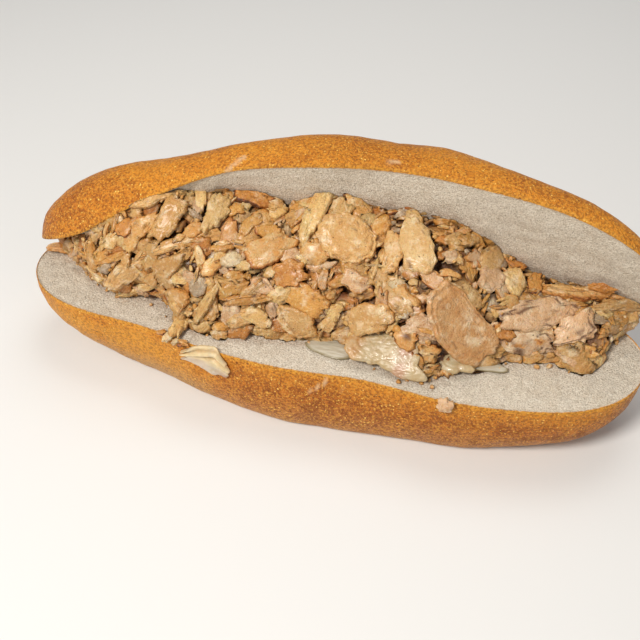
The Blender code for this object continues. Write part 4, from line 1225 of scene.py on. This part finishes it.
def buildSeparate(chicken):
    dice = random.Random(heap["seed"] + 1)
    cheese, onion = cheeseMaterial(), onionMaterial()
    buildSlab("cheeseSlab", cheese, dice)
    buildSlab("cheeseTip", cheese, dice)
    buildFold(cheese)
    buildOnion("onionFront", onion)
    buildOnion("onionRight", onion)
    crumb, scrap, row = separate["crumb"], separate["scrap"], separate["strand"]
    buildLump("crumbOnEdge", chicken, "chicken", "crumb_on_edge", crumb["size"],
              lambda a, b, c: overEdge(crumb["x"] + a, crumb["run"] + b, c), tones["rosy"], 5)
    buildLump("scrapOnBread", chicken, "chicken", "scrap_on_bread", scrap["size"],
              lambda a, b, c: unfold(scrap["x"] + a, scrap["forward"] + b, -c), tones["amber"], 5)
    shape, layers = fillingShape()
    piece = {"kind": "strand", "length": row["length"], "width": row["width"], "thick": row["thick"],
             "turn": row["turn"], "top": row["thick"] / 2, "tone": "cream", "brown": 0.35, "detail": 5}
    addPiece(shape, layers, onCut(*row["at"]), piece, dice)
    for x, y, length, width, turn, tone, brown in row["beside"]:
        piece = {"kind": "chunk", "length": length, "width": width, "thick": width * 0.6, "turn": turn,
                 "top": width * 0.3, "tone": tone, "brown": brown, "detail": 4}
        addPiece(shape, layers, onCut(x, y, width * 0.25), piece, dice)
    finishPiece("strandInFront", shape, chicken, "chicken", "strand_in_front")
    print("separate pieces built")


buildRoll()
print("roll built")
chickenSurface = chickenMaterial()
buildHeap(chickenSurface)
buildSeparate(chickenSurface)


studio = {
    "target": (0, 0, 35),  # where the camera and the lamps look, in the drawing's millimetres
    "azimuth": 14,
    "elevation": 47,
    "distance": 440,
    "lens": 50,
    "floor": colour(232, 230, 226),
    "world": (0.93, 0.96, 1.0),
    "worldStrength": 0.24,
    # azimuth, elevation, distance in metres, size in metres, watts, warmth
    "lights": {
        "key": (-26, 52, 1.1, 0.3, 10.4, (1.0, 0.97, 0.93)),
        "fill": (55, 36, 1.2, 0.8, 1.1, (0.95, 0.97, 1.0)),
        "top": (175, 66, 1.0, 0.6, 2.6, (1.0, 0.99, 0.97)),
    },
}


def direction(azimuth, elevation):
    a, e = math.radians(azimuth), math.radians(elevation)
    return Vector((math.sin(a) * math.cos(e), -math.cos(a) * math.cos(e), math.sin(e)))


def buildStudio():
    scene = bpy.context.scene
    scene.view_settings.view_transform = "Standard"
    floorShape = bmesh.new()
    bmesh.ops.create_circle(floorShape, cap_ends=True, segments=96, radius=3.0)
    mesh = bpy.data.meshes.new("floor")
    floorShape.to_mesh(mesh)
    floorShape.free()
    mesh.materials.append(newMaterial("paleFloor", Base_Color=opaque(studio["floor"]), Roughness=0.7)[0])
    floor = addObject("floor", mesh)

    world = bpy.data.worlds.new("studio")
    world.use_nodes = True
    background = world.node_tree.nodes["Background"]
    background.inputs["Color"].default_value = opaque(studio["world"])
    background.inputs["Strength"].default_value = studio["worldStrength"]
    scene.world = world

    target = (Vector(studio["target"]) + toFrame) * mm
    for name, (azimuth, elevation, away, size, watts, warmth) in studio["lights"].items():
        light = bpy.data.lights.new(name, "AREA")
        light.shape = "DISK"
        light.size = size
        light.energy = watts
        light.color = warmth
        lamp = addObject(name, light)
        lamp.location = target + direction(azimuth, elevation) * away
        lamp.rotation_euler = direction(azimuth, elevation).to_track_quat("Z", "Y").to_euler()

    camera = addObject("camera", bpy.data.cameras.new("camera"))
    camera.data.lens = studio["lens"]
    camera.data.sensor_width = 36
    camera.data.clip_start = 0.01
    back = direction(studio["azimuth"], studio["elevation"])
    camera.location = target + back * studio["distance"] * mm
    camera.rotation_euler = (-back).to_track_quat("-Z", "Y").to_euler()
    scene.camera = camera


buildStudio()
print("studio set")
